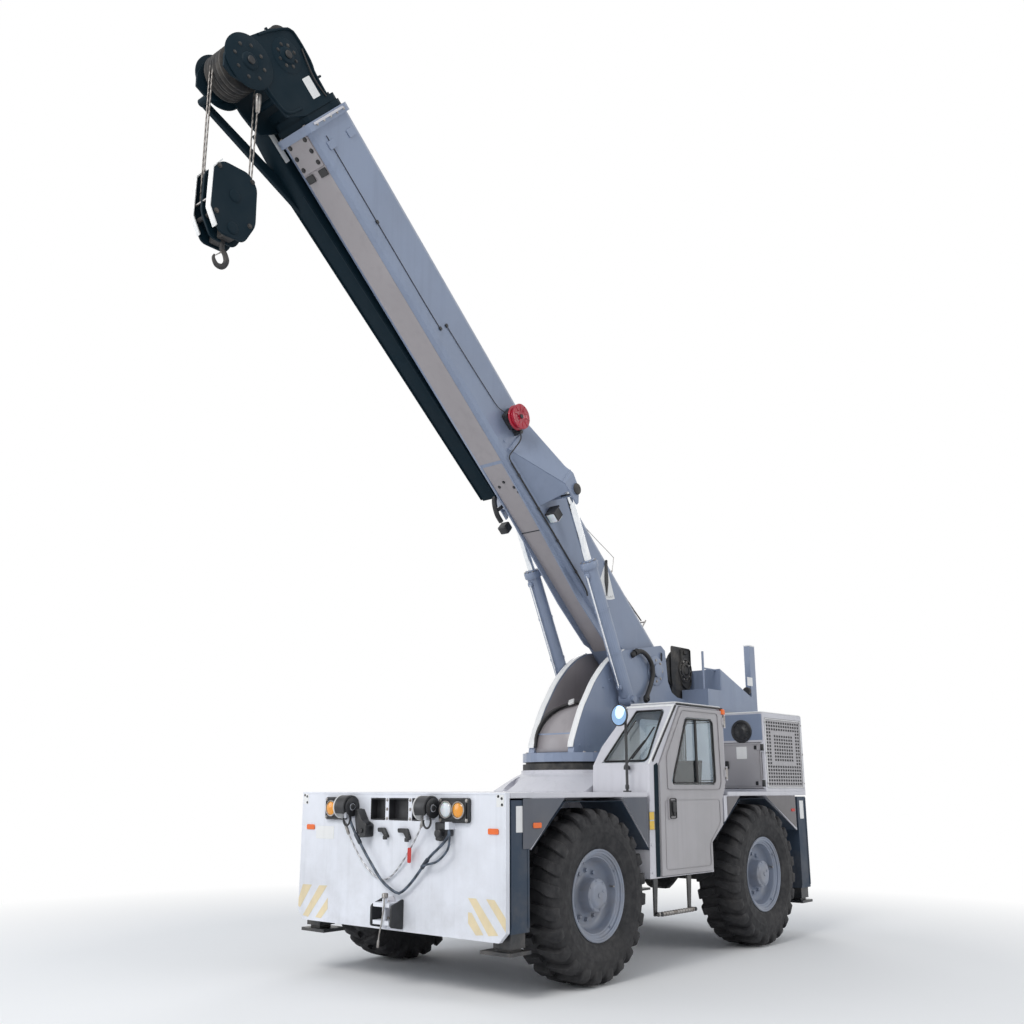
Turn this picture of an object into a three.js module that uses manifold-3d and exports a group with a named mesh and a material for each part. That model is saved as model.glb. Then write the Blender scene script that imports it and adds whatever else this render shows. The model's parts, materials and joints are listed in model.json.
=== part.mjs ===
// Rough-terrain mobile crane with a three-part telescopic boom, four steered wheels and four outriggers.
// Millimetres. +Z is up, the boom and the front of the carrier point along -Y, and the cab side is +X.
// Everything is laid out from the slewing centre at x = 0, y = 0; the finished group is then moved along Y
// so that the origin lies on the ground under the middle of the whole machine.
import * as THREE from 'three';
import { mergeVertices } from 'three/addons/utils/BufferGeometryUtils.js';
import Module from 'manifold-3d';

const wasm = await Module();
wasm.setup();

// ---------------------------------------------------------------- driving dimensions
const originShiftY = 945; // slewing centre to the middle of the machine's length
const seat = 0.3; // gap between two touching pieces
const runningGap = 8; // clearance between sliding tubes

// wheels and axles
const wheelbase = 2820;
const tyreOuterX = 1250;
const tyreWidth = 445;
const tyreRadius = 675;
const wheelSides = 36;
const beadRadius = 322;
const rimLipRadius = 355;
const rimLipOffset = 190;
const hubCapRadius = 127;
const rimFaceOffset = 45;
const kingpinX = 860;
const axleTubeRadius = 92;
const yokeReach = 235;

// carrier
const bodyHalfWidth = 1170;
const frontPlateThickness = 40;
const frontPlateBottom = 416;
const frontOpenings = [[-292, -116], [-77, 149], [189, 327]];
const hornX = [-500, 430];
const hornZ = 1350;
const hornReach = 75;
const hornRadius = 28;
const slingLugX = 640;
const lightSlingRadius = 7;
const darkSlingRadius = 11;
const deckTop = 1467;
const deckThickness = 40;
const railOuterX = 480;
const railWidth = 110;
const railBottom = 900;
const archTopReach = { front: [-369, 424], rear: [-330, 203] }; // deck-level ends of each arch, from the axle
const archFootReach = { front: [[-797, 1051], [830, 982]], rear: [[-882, 1026], [897, 1066]] };
const archClearance = 77; // deck underside above the tyre
const archInnerX = 560;
const skirtThickness = 14;

// outriggers
const legSize = 210;
const legInset = 5;
const legBottom = 475;
const legTop = 1412;
const legWall = 14;
const legBehindTyre = { front: 245, rear: 373 }; // tyre to the middle of the leg
const legToPlate = 165;
const legToRear = 117;
const beamHeight = 190;
const beamWidth = 186;
const beamWall = 12;
const boxWall = 12;
const lowBeamBottom = 545;
const padThickness = 26;
const padTopZ = 346;

// cab
const cabOuterX = 1170;
const cabInnerX = 660;
const cabInnerFrontX = 560;
const cabWall = 36;
const cabFloorZ = 742;
const cabRoofZ = 2270;
const cabFrontY = -590;
const cabRearY = 806;
const cabWaistY = 726;
const glassThickness = 6;

// engine hood
const hoodLength = 925;
const hoodTop = 2275;
const hoodWall = 30;

// slewing parts
const ringRadius = 560;
const ringBottom = 1668;
const ringTop = 1745;
const baseDiscTop = 1830;
const cheekGap = 15; // boom side to turntable side plate
const cheekThickness = 70;
const tailFloorZ = 2335;
const counterweightHalfWidth = 550;
const winchAxis = [1625, 2785];
const winchGap = 3; // winch frame to turntable side plate
const drumGap = 15;

// boom
const pivotY = 1019;
const pivotZ = 2721;
const boomElevation = 42;
const boomWidth = 380;
const boomBottom = -240;
const boomTop = 336;
const boomWall = 12;
const boomRear = 160;
const boomLength = 6330;
const liftOutX = 170; // boom side to lift cylinder
const barrelRadius = 72;
const rodRadius = 38;
const liftFootY = 350;
const liftFootZ = 2372;
const liftHeadS = 2294;
const liftHeadP = 127;
const jibRear = 2560;
const barrelLength = 1464;
const headPinReach = 620; // nose pin beyond the end of the base section
const headPinP = -457;
const sheaveRadius = 190;
const sheaveHalf = 148;
const blockSheaveRadius = 165;
const ropeRadius = 8;
const blockSides = 16;
const fallsLength = 960;

// ---------------------------------------------------------------- materials
const material = (color, roughness, metalness = 0) =>
  new THREE.MeshStandardMaterial({ color, roughness, metalness });
const lightPaint = material('#b4b6c2', 0.45);
const platePaint = material('#a9acbc', 0.45);
const navyPaint = material('#0e2a3c', 0.4);
const rimPaint = material('#a9b3cc', 0.4);
const darkSteel = material('#24262b', 0.6, 0.5);
const blackRubber = material('#1d1e20', 0.85);
const tyreRubber = material('#17181a', 0.9);
const chromeSteel = material('#dfe3e8', 0.12, 1);
const reelRed = material('#9c1230', 0.45);
const glassTint = material('#8fa6ad', 0.08);
const seatVinyl = material('#202226', 0.7);
const guardPaint = material('#b9bac4', 0.5);
const ropeSteel = material('#6d6a68', 0.5, 0.6);

// ---------------------------------------------------------------- solids
// Six times the volume inside a closed mesh, negative when its faces point in.
function signedVolume(positions, triangles) {
  const corner = (i) => new THREE.Vector3().fromArray(positions, triangles[i] * 3);
  let sum = 0;
  for (let i = 0; i < triangles.length; i += 3) {
    sum += corner(i).dot(corner(i + 1).cross(corner(i + 2)));
  }
  return sum;
}

// A closed three.js geometry becomes a solid with its faces out, whichever way its outline ran.
function solid(geometry) {
  const bare = geometry.clone();
  bare.deleteAttribute('normal');
  bare.deleteAttribute('uv');
  const merged = mergeVertices(bare, 1e-3);
  const vertProperties = Float32Array.from(merged.attributes.position.array);
  const triVerts = Uint32Array.from(merged.index.array);
  if (signedVolume(vertProperties, triVerts) < 0) triVerts.reverse();
  return new wasm.Manifold(new wasm.Mesh({ numProp: 3, vertProperties, triVerts }));
}

function toGeometry(body) {
  const mesh = body.getMesh();
  const geometry = new THREE.BufferGeometry();
  geometry.setAttribute('position', new THREE.BufferAttribute(Float32Array.from(mesh.vertProperties), 3));
  geometry.setIndex(new THREE.BufferAttribute(Uint32Array.from(mesh.triVerts), 1));
  geometry.computeVertexNormals();
  return geometry;
}

const join = (...bodies) => bodies.reduce((sum, body) => sum.add(body));
const cut = (body, ...tools) => tools.reduce((rest, tool) => rest.subtract(tool), body);

// A box between two limits along each axis.
function box([x0, x1], [y0, y1], [z0, z1]) {
  const geometry = new THREE.BoxGeometry(x1 - x0, y1 - y0, z1 - z0);
  geometry.translate((x0 + x1) / 2, (y0 + y1) / 2, (z0 + z1) / 2);
  return solid(geometry);
}

// A round bar between two points, or a cone frustum when an end radius is given.
function bar(from, to, radius, sides = 16, endRadius = radius) {
  const a = new THREE.Vector3(...from);
  const b = new THREE.Vector3(...to);
  const geometry = new THREE.CylinderGeometry(endRadius, radius, a.distanceTo(b), sides);
  const turn = new THREE.Quaternion().setFromUnitVectors(
    new THREE.Vector3(0, 1, 0), b.clone().sub(a).normalize());
  geometry.applyQuaternion(turn);
  geometry.translate((a.x + b.x) / 2, (a.y + b.y) / 2, (a.z + b.z) / 2);
  return solid(geometry);
}

function outline(points) {
  const shape = new THREE.Shape();
  points.forEach(([u, v], i) => (i ? shape.lineTo(u, v) : shape.moveTo(u, v)));
  shape.closePath();
  return shape;
}

function extruded(points, depth) {
  return new THREE.ExtrudeGeometry(outline(points), { depth, bevelEnabled: false });
}

// An outline of (y, z) points carried along X.
function plateX(points, [x0, x1]) {
  const geometry = extruded(points, x1 - x0);
  geometry.applyMatrix4(new THREE.Matrix4().set(0, 0, 1, x0, 1, 0, 0, 0, 0, 1, 0, 0, 0, 0, 0, 1));
  return solid(geometry);
}

// An outline of (x, z) points carried along Y.
function plateY(points, [y0, y1]) {
  const geometry = extruded(points, y1 - y0);
  geometry.applyMatrix4(new THREE.Matrix4().set(1, 0, 0, 0, 0, 0, -1, y1, 0, 1, 0, 0, 0, 0, 0, 1));
  return solid(geometry);
}

// An outline of (x, y) points carried along Z.
function plateZ(points, [z0, z1]) {
  const geometry = extruded(points, z1 - z0);
  geometry.translate(0, 0, z0);
  return solid(geometry);
}

// A ring or disc turned about X from (offset along X, radius) points; a ring closes on itself.
function turnedX(points, sides, at = [0, 0, 0]) {
  const profile = points.map(([offset, radius]) => new THREE.Vector2(radius, offset));
  const geometry = new THREE.LatheGeometry(profile, sides);
  geometry.rotateY(Math.PI / sides);
  geometry.rotateZ(-Math.PI / 2);
  geometry.translate(...at);
  return solid(geometry);
}

// The same about Z from (radius, height) points.
function turnedZ(points, sides, at = [0, 0, 0], lean = 0) {
  const geometry = new THREE.LatheGeometry(points.map(([r, z]) => new THREE.Vector2(r, z)), sides);
  geometry.rotateX(Math.PI / 2 + lean);
  geometry.translate(...at);
  return solid(geometry);
}

// A rectangle with rounded corners as (u, v) points.
function roundedRect(u0, u1, v0, v1, radius, steps = 2) {
  const points = [];
  const corners = [[u1 - radius, v1 - radius, 0], [u0 + radius, v1 - radius, 1],
    [u0 + radius, v0 + radius, 2], [u1 - radius, v0 + radius, 3]];
  for (const [cu, cv, quarter] of corners) {
    for (let i = 0; i <= steps; i += 1) {
      const angle = (quarter + i / steps) * Math.PI / 2;
      points.push([cu + radius * Math.cos(angle), cv + radius * Math.sin(angle)]);
    }
  }
  return points;
}

function circle(u, v, radius, steps) {
  const points = [];
  for (let i = 0; i < steps; i += 1) {
    const angle = (i + 0.5) / steps * 2 * Math.PI;
    points.push([u + radius * Math.cos(angle), v + radius * Math.sin(angle)]);
  }
  return points;
}

function piece(name, body, finish) {
  const mesh = new THREE.Mesh(toGeometry(body), finish);
  mesh.name = name;
  return mesh;
}

// ---------------------------------------------------------------- carrier
const axleZ = tyreRadius * Math.cos(Math.PI / wheelSides);
const axleY = { front: -wheelbase / 2, rear: wheelbase / 2 };
const wheelX = tyreOuterX - tyreWidth / 2;
const legCentreY = { front: axleY.front - tyreRadius - legBehindTyre.front,
  rear: axleY.rear + tyreRadius + legBehindTyre.rear };
const frontPlateY = legCentreY.front - legToPlate;
const deckRearY = legCentreY.rear + legToRear;
const hoodFrontY = deckRearY - hoodLength;
const fromAxle = (end, reach) => axleY[end] + reach;
const archTop = { front: archTopReach.front.map((v) => fromAxle('front', v)),
  rear: archTopReach.rear.map((v) => fromAxle('rear', v)) };
const archFoot = { front: archFootReach.front.map(([v, z]) => [fromAxle('front', v), z]),
  rear: archFootReach.rear.map(([v, z]) => [fromAxle('rear', v), z]) };
const cheekInnerX = boomWidth / 2 + cheekGap;
const cheekOuterX = cheekInnerX + cheekThickness;
const liftX = boomWidth / 2 + liftOutX;
const headPinS = boomLength + headPinReach;
const deckBottom = deckTop - deckThickness;
// Larger tyres raise the whole body on its axles; the axles' height is also wanted from the body's own datum.
const bodyRaise = 2 * tyreRadius + archClearance - deckBottom;
const axleUnderBody = axleZ - bodyRaise;
const legX = bodyHalfWidth - legInset - legSize / 2;
const boxHalfLength = legX - legSize / 2 - runningGap;
const highBeamBottom = lowBeamBottom + beamHeight + runningGap * 2 + boxWall;
const boxBottom = lowBeamBottom - runningGap - boxWall;
const boxTop = highBeamBottom + beamHeight + runningGap + boxWall;

// The tube that holds one end's two outrigger beams, one above the other.
function outriggerBox(end) {
  const y = legCentreY[end];
  const half = beamWidth / 2 + runningGap;
  let tube = box([-boxHalfLength, boxHalfLength], [y - half - boxWall, y + half + boxWall], [boxBottom, boxTop]);
  for (const bottom of [lowBeamBottom, highBeamBottom]) {
    tube = cut(tube, box([-boxHalfLength - 10, boxHalfLength + 10], [y - half, y + half],
      [bottom - runningGap, bottom + beamHeight + runningGap]));
  }
  const padDepth = runningGap - seat;
  const lowPad = box([boxHalfLength - 150, boxHalfLength - 10], [y - half, y + half],
    [lowBeamBottom - runningGap - 1, lowBeamBottom - runningGap + padDepth]);
  const highPad = box([-boxHalfLength + 10, -boxHalfLength + 150], [y - half, y + half],
    [highBeamBottom - runningGap - 1, highBeamBottom - runningGap + padDepth]);
  return join(tube, lowPad, highPad);
}

function chassisFrame() {
  const frontY = legCentreY.front + beamWidth / 2 + runningGap;
  const rearY = legCentreY.rear - beamWidth / 2 - runningGap;
  const top = deckBottom - seat;
  const side = [[frontY, boxBottom], [frontY + 120, boxBottom], [frontY + 260, railBottom],
    [rearY - 260, railBottom], [rearY - 120, boxBottom], [rearY, boxBottom], [rearY, top], [frontY, top]];
  let frame = join(outriggerBox('front'), outriggerBox('rear'));
  for (const sign of [-1, 1]) {
    const xs = [railOuterX - railWidth, railOuterX].map((x) => sign * x).sort((a, b) => a - b);
    frame = frame.add(plateX(side, xs));
    const saddle = box(xs, [axleY.front - 130, axleY.front + 130], [axleUnderBody, railBottom + 5]);
    const tube = bar([-600, axleY.front, axleUnderBody], [600, axleY.front, axleUnderBody], axleTubeRadius + seat, 16);
    frame = frame.add(cut(saddle, tube));
  }
  const inner = railOuterX - railWidth + 5;
  for (const y of [frontY + 40, -700, 700, rearY - 40]) {
    frame = frame.add(box([-inner, inner], [y - 40, y + 40], [railBottom + 60, top]));
  }
  const pivotBeam = box([-inner, inner], [axleY.rear - 70, axleY.rear + 70], [axleUnderBody + 320, top]);
  const pivotPost = box([-90, 90], [axleY.rear - 70, axleY.rear + 70], [axleUnderBody + 215 + seat, axleUnderBody + 330]);
  return frame.add(pivotBeam).add(pivotPost);
}

// Front plate with its three openings, two horn brackets, cut lower corners and a towing jaw.
function frontPlate() {
  const back = frontPlateY + frontPlateThickness;
  const corner = 70;
  const w = bodyHalfWidth;
  const face = [[-w, frontPlateBottom + corner], [-w + corner, frontPlateBottom],
    [w - corner, frontPlateBottom], [w, frontPlateBottom + corner], [w, deckTop], [-w, deckTop]];
  let plate = plateY(face, [frontPlateY, back]);
  for (const [from, to] of frontOpenings) {
    plate = cut(plate, box([from, to], [frontPlateY - 10, back + 10], [1248, 1423]));
  }
  for (const x of hornX) {
    const lug = box([x - 15, x + 15], [frontPlateY - hornReach - 20, frontPlateY + 5], [hornZ - 90, hornZ + 50]);
    const horn = bar([x - 70, frontPlateY - hornReach, hornZ], [x + 70, frontPlateY - hornReach, hornZ], hornRadius, 12);
    plate = join(plate, lug, horn);
  }
  const slingLug = box([slingLugX - 20, slingLugX + 20], [frontPlateY - 70, frontPlateY + 5], [1195, 1250]);
  plate = plate.add(slingLug);
  for (const z of [470, 600]) {
    plate = plate.add(box([-90, 90], [frontPlateY - 130, frontPlateY + 5], [z, z + 30]));
  }
  const pin = bar([0, frontPlateY - 90, 440], [0, frontPlateY - 90, 660], 20, 12);
  return join(plate, pin);
}

// Wire slings hung on the horns of the front plate.
function slingTube(points, radius) {
  const route = new THREE.CatmullRomCurve3(points.map((p) => new THREE.Vector3(...p)), false, 'centripetal');
  const steps = 36;
  const geometry = new THREE.ExtrudeGeometry(outline(circle(0, 0, radius, 8)),
    { extrudePath: route, steps, bevelEnabled: false });
  return solid(geometry);
}

function lightSling() {
  const y = frontPlateY;
  const top = hornZ - hornRadius - seat;
  return slingTube([[hornX[0] - 35, y - hornReach, top], [hornX[0] - 35, y - hornReach, top - 60],
    [-470, y - 60, 1110], [-345, y - 30, 925], [-215, y - 18, 822], [-110, y - 15, 790], [-5, y - 18, 826],
    [130, y - 28, 945], [290, y - 52, 1120], [hornX[1] - 36, y - hornReach, top - 60],
    [hornX[1] - 36, y - hornReach, top]], lightSlingRadius);
}

function darkSling() {
  const y = frontPlateY;
  const top = hornZ - hornRadius - seat;
  return slingTube([[hornX[0] + 50, y - hornReach, top], [hornX[0] + 50, y - hornReach, top - 90],
    [-330, y - 66, 1060], [-200, y - 52, 900], [-85, y - 42, 780], [60, y - 36, 706], [130, y - 36, 712],
    [240, y - 40, 790], [345, y - 46, 890], [440, y - 48, 985], [slingLugX - 70, y - 50, 1080],
    [slingLugX, y - 50, 1150], [slingLugX, y - 50, 1195 - seat]], darkSlingRadius);
}

// Sloping sheet and side gusset at one end of a wheel arch; they start no nearer the cab than startY.
function archEnd(foot, topY, sign, startY) {
  const top = deckBottom + 5;
  const slope = (deckBottom - foot[1]) / (topY - foot[0]);
  const clipped = startY !== undefined && (startY - foot[0]) * (startY - topY) < 0;
  const low = clipped ? [startY, foot[1] + slope * (startY - foot[0])] : foot;
  const away = Math.sign(low[0] - topY);
  const outer = bodyHalfWidth;
  const xs = (from, to) => [sign * from, sign * to].sort((p, q) => p - q);
  const sheet = plateX([low, [topY, top], [topY + away * 15, top], [low[0] + away * 4, low[1] + 12]],
    xs(archInnerX, outer));
  const gusset = plateX([low, [topY, top], [low[0], top]], xs(outer - skirtThickness, outer));
  return join(sheet, gusset);
}

function deck() {
  const w = bodyHalfWidth;
  const frontY = frontPlateY + frontPlateThickness + seat;
  let body = box([-w, w], [frontY, deckRearY], [deckBottom, deckTop]);
  body = cut(body, box([cabInnerFrontX - 15, w + 10], [cabFrontY - 15, cabRearY + 15], [deckBottom - 10, deckTop + 10]));
  for (const sign of [1, -1]) {
    const cabSide = sign > 0;
    for (const end of ['front', 'rear']) {
      archFoot[end].forEach((foot, i) => {
        const cabNear = cabSide && (end === 'front' ? i === 1 : i === 0);
        const startY = cabNear ? (end === 'front' ? cabFrontY - 15 : cabWaistY + 22) : undefined;
        body = body.add(archEnd(foot, archTop[end][i], sign, startY));
      });
    }
  }
  const cone = turnedZ([[0, deckTop - 10], [850, deckTop - 10], [850, deckTop + 8], [640, ringBottom - 60],
    [ringRadius + 15, ringBottom - 30], [ringRadius + 15, ringBottom], [0, ringBottom]], 36);
  const clear = box([cabInnerFrontX - 15, 1000], [-1000, 1000], [deckTop - 20, ringBottom + 10]);
  body = body.add(cut(cone, clear));
  const handHole = plateY(circle(-300, 1535, 70, 14), [-900, -560]);
  return cut(body, handHole);
}

function sideTanks() {
  const [x0, x1] = [-1150, -railOuterX - seat];
  const fuel = plateY(roundedRect(x0, -620, 770, deckBottom - seat, 90), [-560, 20]);
  const hydraulic = box([x0, -620], [60, 500], [770, deckBottom - seat]);
  const shelf = box([x0 + 80, x1], [-400, 400], [820, 870]);
  const cap = bar([-1150, -300, 1250], [-1180, -300, 1250], 50, 14);
  return join(fuel, hydraulic, shelf, box([x0 + 60, -700], [10, 70], [900, 1250]), cap);
}

// ---------------------------------------------------------------- cab
const cabProfile = [[cabFrontY, cabFloorZ], [500, cabFloorZ], [500, 1010], [cabWaistY - 6, 1165],
  [cabWaistY, 1400], [cabRearY - 25, 1500], [cabRearY, 1560], [cabRearY, cabRoofZ - 25], [cabRearY - 25, cabRoofZ],
  [-60, cabRoofZ], [-80, cabRoofZ - 12], [-545, 1700], [-555, 1480]];
const doorProfile = [[-415, 756], [472, 756], [472, 1014], [cabWaistY - 34, 1172], [cabWaistY - 28, 1410],
  [cabRearY - 48, 1512], [cabRearY - 34, 1560], [cabRearY - 34, 2238], [-22, 2238], [-402, 1700]];
const doorGap = 6;
const doorThickness = 34;
const doorProud = 16;
const cabHinge = [cabOuterX + doorProud + 2, cabRearY - 10];
const cabHingeZ = [1640, 2140];
const doorWindow = [[-180, 1530], [555, 1530], [588, 1562], [572, 2118], [538, 2150], [82, 2146], [48, 2120], [-212, 1565]];

// Moves every edge of a closed outline inwards by one distance.
function inset(points, distance) {
  const count = points.length;
  const area = points.reduce((sum, [u, v], i) => {
    const [p, q] = points[(i + 1) % count];
    return sum + u * q - p * v;
  }, 0);
  const side = Math.sign(area) * distance;
  const lines = points.map(([u, v], i) => {
    const [p, q] = points[(i + 1) % count];
    const length = Math.hypot(p - u, q - v);
    const [nu, nv] = [-(q - v) / length * side, (p - u) / length * side];
    return [u + nu, v + nv, p - u, q - v];
  });
  return points.map((_, i) => {
    const [au, av, ad, ae] = lines[(i + count - 1) % count];
    const [bu, bv, bd, be] = lines[i];
    const cross = ad * be - ae * bd;
    const t = ((bu - au) * be - (bv - av) * bd) / cross;
    return [au + ad * t, av + ae * t];
  });
}

const cabPlan = [[cabOuterX, cabFrontY - 20], [cabInnerFrontX, cabFrontY - 20], [cabInnerFrontX, -400],
  [cabInnerX, -130], [cabInnerX, cabRearY + 20], [cabOuterX, cabRearY + 20]];

function cabVolume(wall) {
  const side = wall ? inset(cabProfile, wall) : cabProfile;
  const plan = wall ? inset(cabPlan, wall) : cabPlan;
  return plateX(side, [cabInnerFrontX - 50, cabOuterX + 50]).intersect(plateZ(plan, [600, 2400]));
}

// The windscreen lies in the raked plane between these two (y, z) points.
const screenLow = [-545, 1700];
const screenHigh = [-80, cabRoofZ - 12];
const screenLength = Math.hypot(screenHigh[0] - screenLow[0], screenHigh[1] - screenLow[1]);
const screenTilt = Math.atan2(screenHigh[1] - screenLow[1], screenHigh[0] - screenLow[0]);

// A slab in the raked plane: u runs across the machine, v runs up the rake, depth is measured inwards.
function onScreen(points, depth0, depth1) {
  const geometry = extruded(points, depth1 - depth0);
  geometry.translate(0, 0, -depth1);
  const basis = new THREE.Matrix4().makeBasis(
    new THREE.Vector3(1, 0, 0),
    new THREE.Vector3(0, Math.cos(screenTilt), Math.sin(screenTilt)),
    new THREE.Vector3(0, -Math.sin(screenTilt), Math.cos(screenTilt)));
  basis.setPosition(0, screenLow[0], screenLow[1]);
  geometry.applyMatrix4(basis);
  return solid(geometry);
}

const screenOutline = (grow) => [[645 - grow, 30 - grow], [1105 + grow, 30 - grow], [1138 + grow, 75],
  [1085 + grow, screenLength - 85 + grow], [1055 + grow, screenLength - 55 + grow], [765 - grow, screenLength - 55 + grow]];

function cabShell() {
  let shell = cut(cabVolume(0), cabVolume(cabWall));
  shell = cut(shell, plateX(inset(doorProfile, -doorGap), [cabOuterX - cabWall - 20, cabOuterX + 20]));
  shell = cut(shell, onScreen(screenOutline(0), -20, cabWall + 30));
  const rearWindow = plateY(roundedRect(720, 1110, 1560, 2150, 50), [cabRearY - cabWall - 20, cabRearY + 20]);
  const innerWindow = plateX(roundedRect(40, 690, 1540, 2150, 50), [cabInnerX - 20, cabInnerX + cabWall + 20]);
  shell = cut(shell, rearWindow, innerWindow);
  const mounts = [-330, 300].map((y) => box([railOuterX + seat, (y < 0 ? cabInnerFrontX + 42 : cabInnerX + 4)],
    [y - 50, y + 50], [950, 1050]));
  const [pinX, pinY] = cabHinge;
  const fixedKnuckles = cabHingeZ.flatMap((z) => [-1, 1].map((up) =>
    box([cabOuterX - 2, pinX + 9], [pinY - 9, cabRearY], [z + up * 45 + seat * up, z + up * 66].sort((a, b) => a - b))));
  return join(shell, ...mounts, ...fixedKnuckles);
}

function paneFits(outlinePoints) {
  return inset(outlinePoints, seat);
}

function windscreen() {
  return onScreen(paneFits(screenOutline(0)), 10, 10 + glassThickness);
}

function cabRearGlass() {
  const middle = cabRearY - cabWall / 2;
  return plateY(paneFits(roundedRect(720, 1110, 1560, 2150, 50)), [middle, middle + glassThickness]);
}

function cabInnerGlass() {
  const middle = cabInnerX + cabWall / 2;
  return plateX(paneFits(roundedRect(40, 690, 1540, 2150, 50)), [middle, middle + glassThickness]);
}

function cabDoor() {
  const outer = cabOuterX + doorProud;
  let door = plateX(doorProfile, [outer - doorThickness, outer]);
  door = cut(door, plateX(doorWindow, [outer - doorThickness - 10, outer + 10]));
  const latch = box([outer - 2, outer + 14], [-290, -170], [1230, 1420]);
  const [pinX, pinY] = cabHinge;
  const hinges = cabHingeZ.map((z) => bar([pinX, pinY, z - 45], [pinX, pinY, z + 45], 9, 10));
  const leaves = cabHingeZ.map((z) => box([outer - 4, outer + 6], [pinY - 45, pinY], [z - 35, z + 35]));
  return join(door, latch, ...hinges, ...leaves);
}

function doorGlass() {
  const outer = cabOuterX + doorProud;
  return plateX(paneFits(doorWindow), [outer - 20, outer - 20 + glassThickness]);
}

function operatorStation() {
  const floor = cabFloorZ + cabWall + seat;
  const plinth = box([760, 1080], [120, 440], [floor, floor + 330]);
  const back = plateX([[380, 1100], [440, 1100], [560, 1760], [500, 1760]], [780, 1060]);
  const console = plateX([[-470, floor], [-350, floor], [-330, 1330], [-400, 1400], [-470, 1400]], [700, 1120]);
  const plate = box([720, 1110], [-480, 450], [floor, floor + 14]);
  const column = bar([920, -380, 1320], [920, -270, 1420], 25, 12);
  const wheel = turnedZ([[150, -12], [175, -12], [175, 12], [150, 12], [150, -12]], 20,
    [920, -245, 1440], -0.6);
  const spokes = bar([745, -245, 1440], [1095, -245, 1440], 10, 8);
  return join(plinth, back, console, plate, column, wheel, spokes,
    bar([920, -290, 1400], [920, -240, 1445], 28, 10));
}

function seatCushion() {
  const base = cabFloorZ + cabWall + 330 + seat * 2;
  return plateY(roundedRect(745, 1095, base, base + 110, 35), [0, 370]);
}

function cabStep() {
  const x = cabOuterX + 50;
  const rung = box([x - 40, x + 20], [-560, 60], [440, 470]);
  const hangers = [-540, 20].map((y) => plateX([[y, 440], [y + 30, 440], [y + 30, cabFloorZ - seat],
    [y, cabFloorZ - seat]], [x - 60, x - 45]));
  const ties = [-540, 20].map((y) => box([x - 60, x - 30], [y, y + 30], [440, 465]));
  return join(rung, ...hangers, ...ties);
}

function mirror() {
  const foot = cabFrontY - 60;
  const pole = bar([1000, foot, deckTop + seat], [1000, foot, 2190], 12, 10);
  const disc = bar([985, foot - 60, 2130], [985, foot - 30, 2130], 95, 24);
  const arm = bar([1000, foot, 2130], [990, foot - 40, 2130], 12, 8);
  const base = box([975, 1025], [foot - 25, foot + 25], [deckTop + seat, deckTop + 12]);
  return join(pole, disc, arm, base);
}

// ---------------------------------------------------------------- engine hood
const hoodDoor = { x0: 690, x1: 1140, z0: 1500, z1: 1965 };
const hoodDoorGap = 6;
const hoodHinge = [hoodDoor.x1 + 14, hoodFrontY - 12];
const guardZ = [1500, 2225];
const guardY = [hoodFrontY + 40, deckRearY - hoodWall];

function engineHood() {
  const w = bodyHalfWidth;
  const bottom = deckTop + seat;
  let hood = box([-w, w], [hoodFrontY, deckRearY], [bottom, hoodTop]);
  hood = cut(hood, box([-w + hoodWall, w - hoodWall], [hoodFrontY + hoodWall, deckRearY - hoodWall],
    [bottom - 10, hoodTop - hoodWall]));
  hood = cut(hood, box([hoodDoor.x0 - hoodDoorGap, hoodDoor.x1 + hoodDoorGap],
    [hoodFrontY - 10, hoodFrontY + hoodWall + 10], [hoodDoor.z0 - hoodDoorGap, hoodDoor.z1 + hoodDoorGap]));
  hood = cut(hood, plateY(circle(925, 2085, 92, 20), [hoodFrontY - 10, hoodFrontY + hoodWall + 10]));
  const sideOpening = box([w - hoodWall - 10, w + 10], guardY, guardZ);
  const rearOpening = box([-820, 820], [deckRearY - hoodWall - 10, deckRearY + 10], [1560, 2130]);
  hood = cut(hood, sideOpening, rearOpening);
  for (const z of [hoodDoor.z0 + 50, hoodDoor.z1 - 50]) {
    for (const up of [-1, 1]) {
      const zs = [z + up * (30 + seat), z + up * 46].sort((a, b) => a - b);
      hood = hood.add(box([hoodHinge[0] - 9, hoodHinge[0] + 9], [hoodHinge[1] - 9, hoodFrontY + 3], zs));
    }
  }
  for (let x = -700; x <= 700; x += 200) {
    hood = hood.add(box([x - 14, x + 14], [deckRearY - hoodWall, deckRearY - 6], [1555, 2135]));
  }
  return hood;
}

function radiatorGuard() {
  const [y0, y1] = [guardY[0] + seat, guardY[1] - seat];
  const [z0, z1] = [guardZ[0] + seat, guardZ[1] - seat];
  return box([bodyHalfWidth - 14, bodyHalfWidth - 4], [y0, y1], [z0, z1]);
}

function hoodAccessDoor() {
  const [pinX, pinY] = hoodHinge;
  const panel = box([hoodDoor.x0, hoodDoor.x1], [hoodFrontY - 6, hoodFrontY + hoodWall - 8],
    [hoodDoor.z0, hoodDoor.z1]);
  const knuckles = [hoodDoor.z0 + 50, hoodDoor.z1 - 50].map((z) =>
    bar([pinX, pinY, z - 30], [pinX, pinY, z + 30], 9, 10));
  const leaves = [hoodDoor.z0 + 50, hoodDoor.z1 - 50].map((z) =>
    box([hoodDoor.x1 - 45, pinX], [pinY - 4, hoodFrontY - 4], [z - 25, z + 25]));
  return join(panel, ...knuckles, ...leaves);
}

function engineBlock() {
  return box([-450, 450], [hoodFrontY + 150, deckRearY - 155], [deckTop + seat, 2120]);
}

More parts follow.
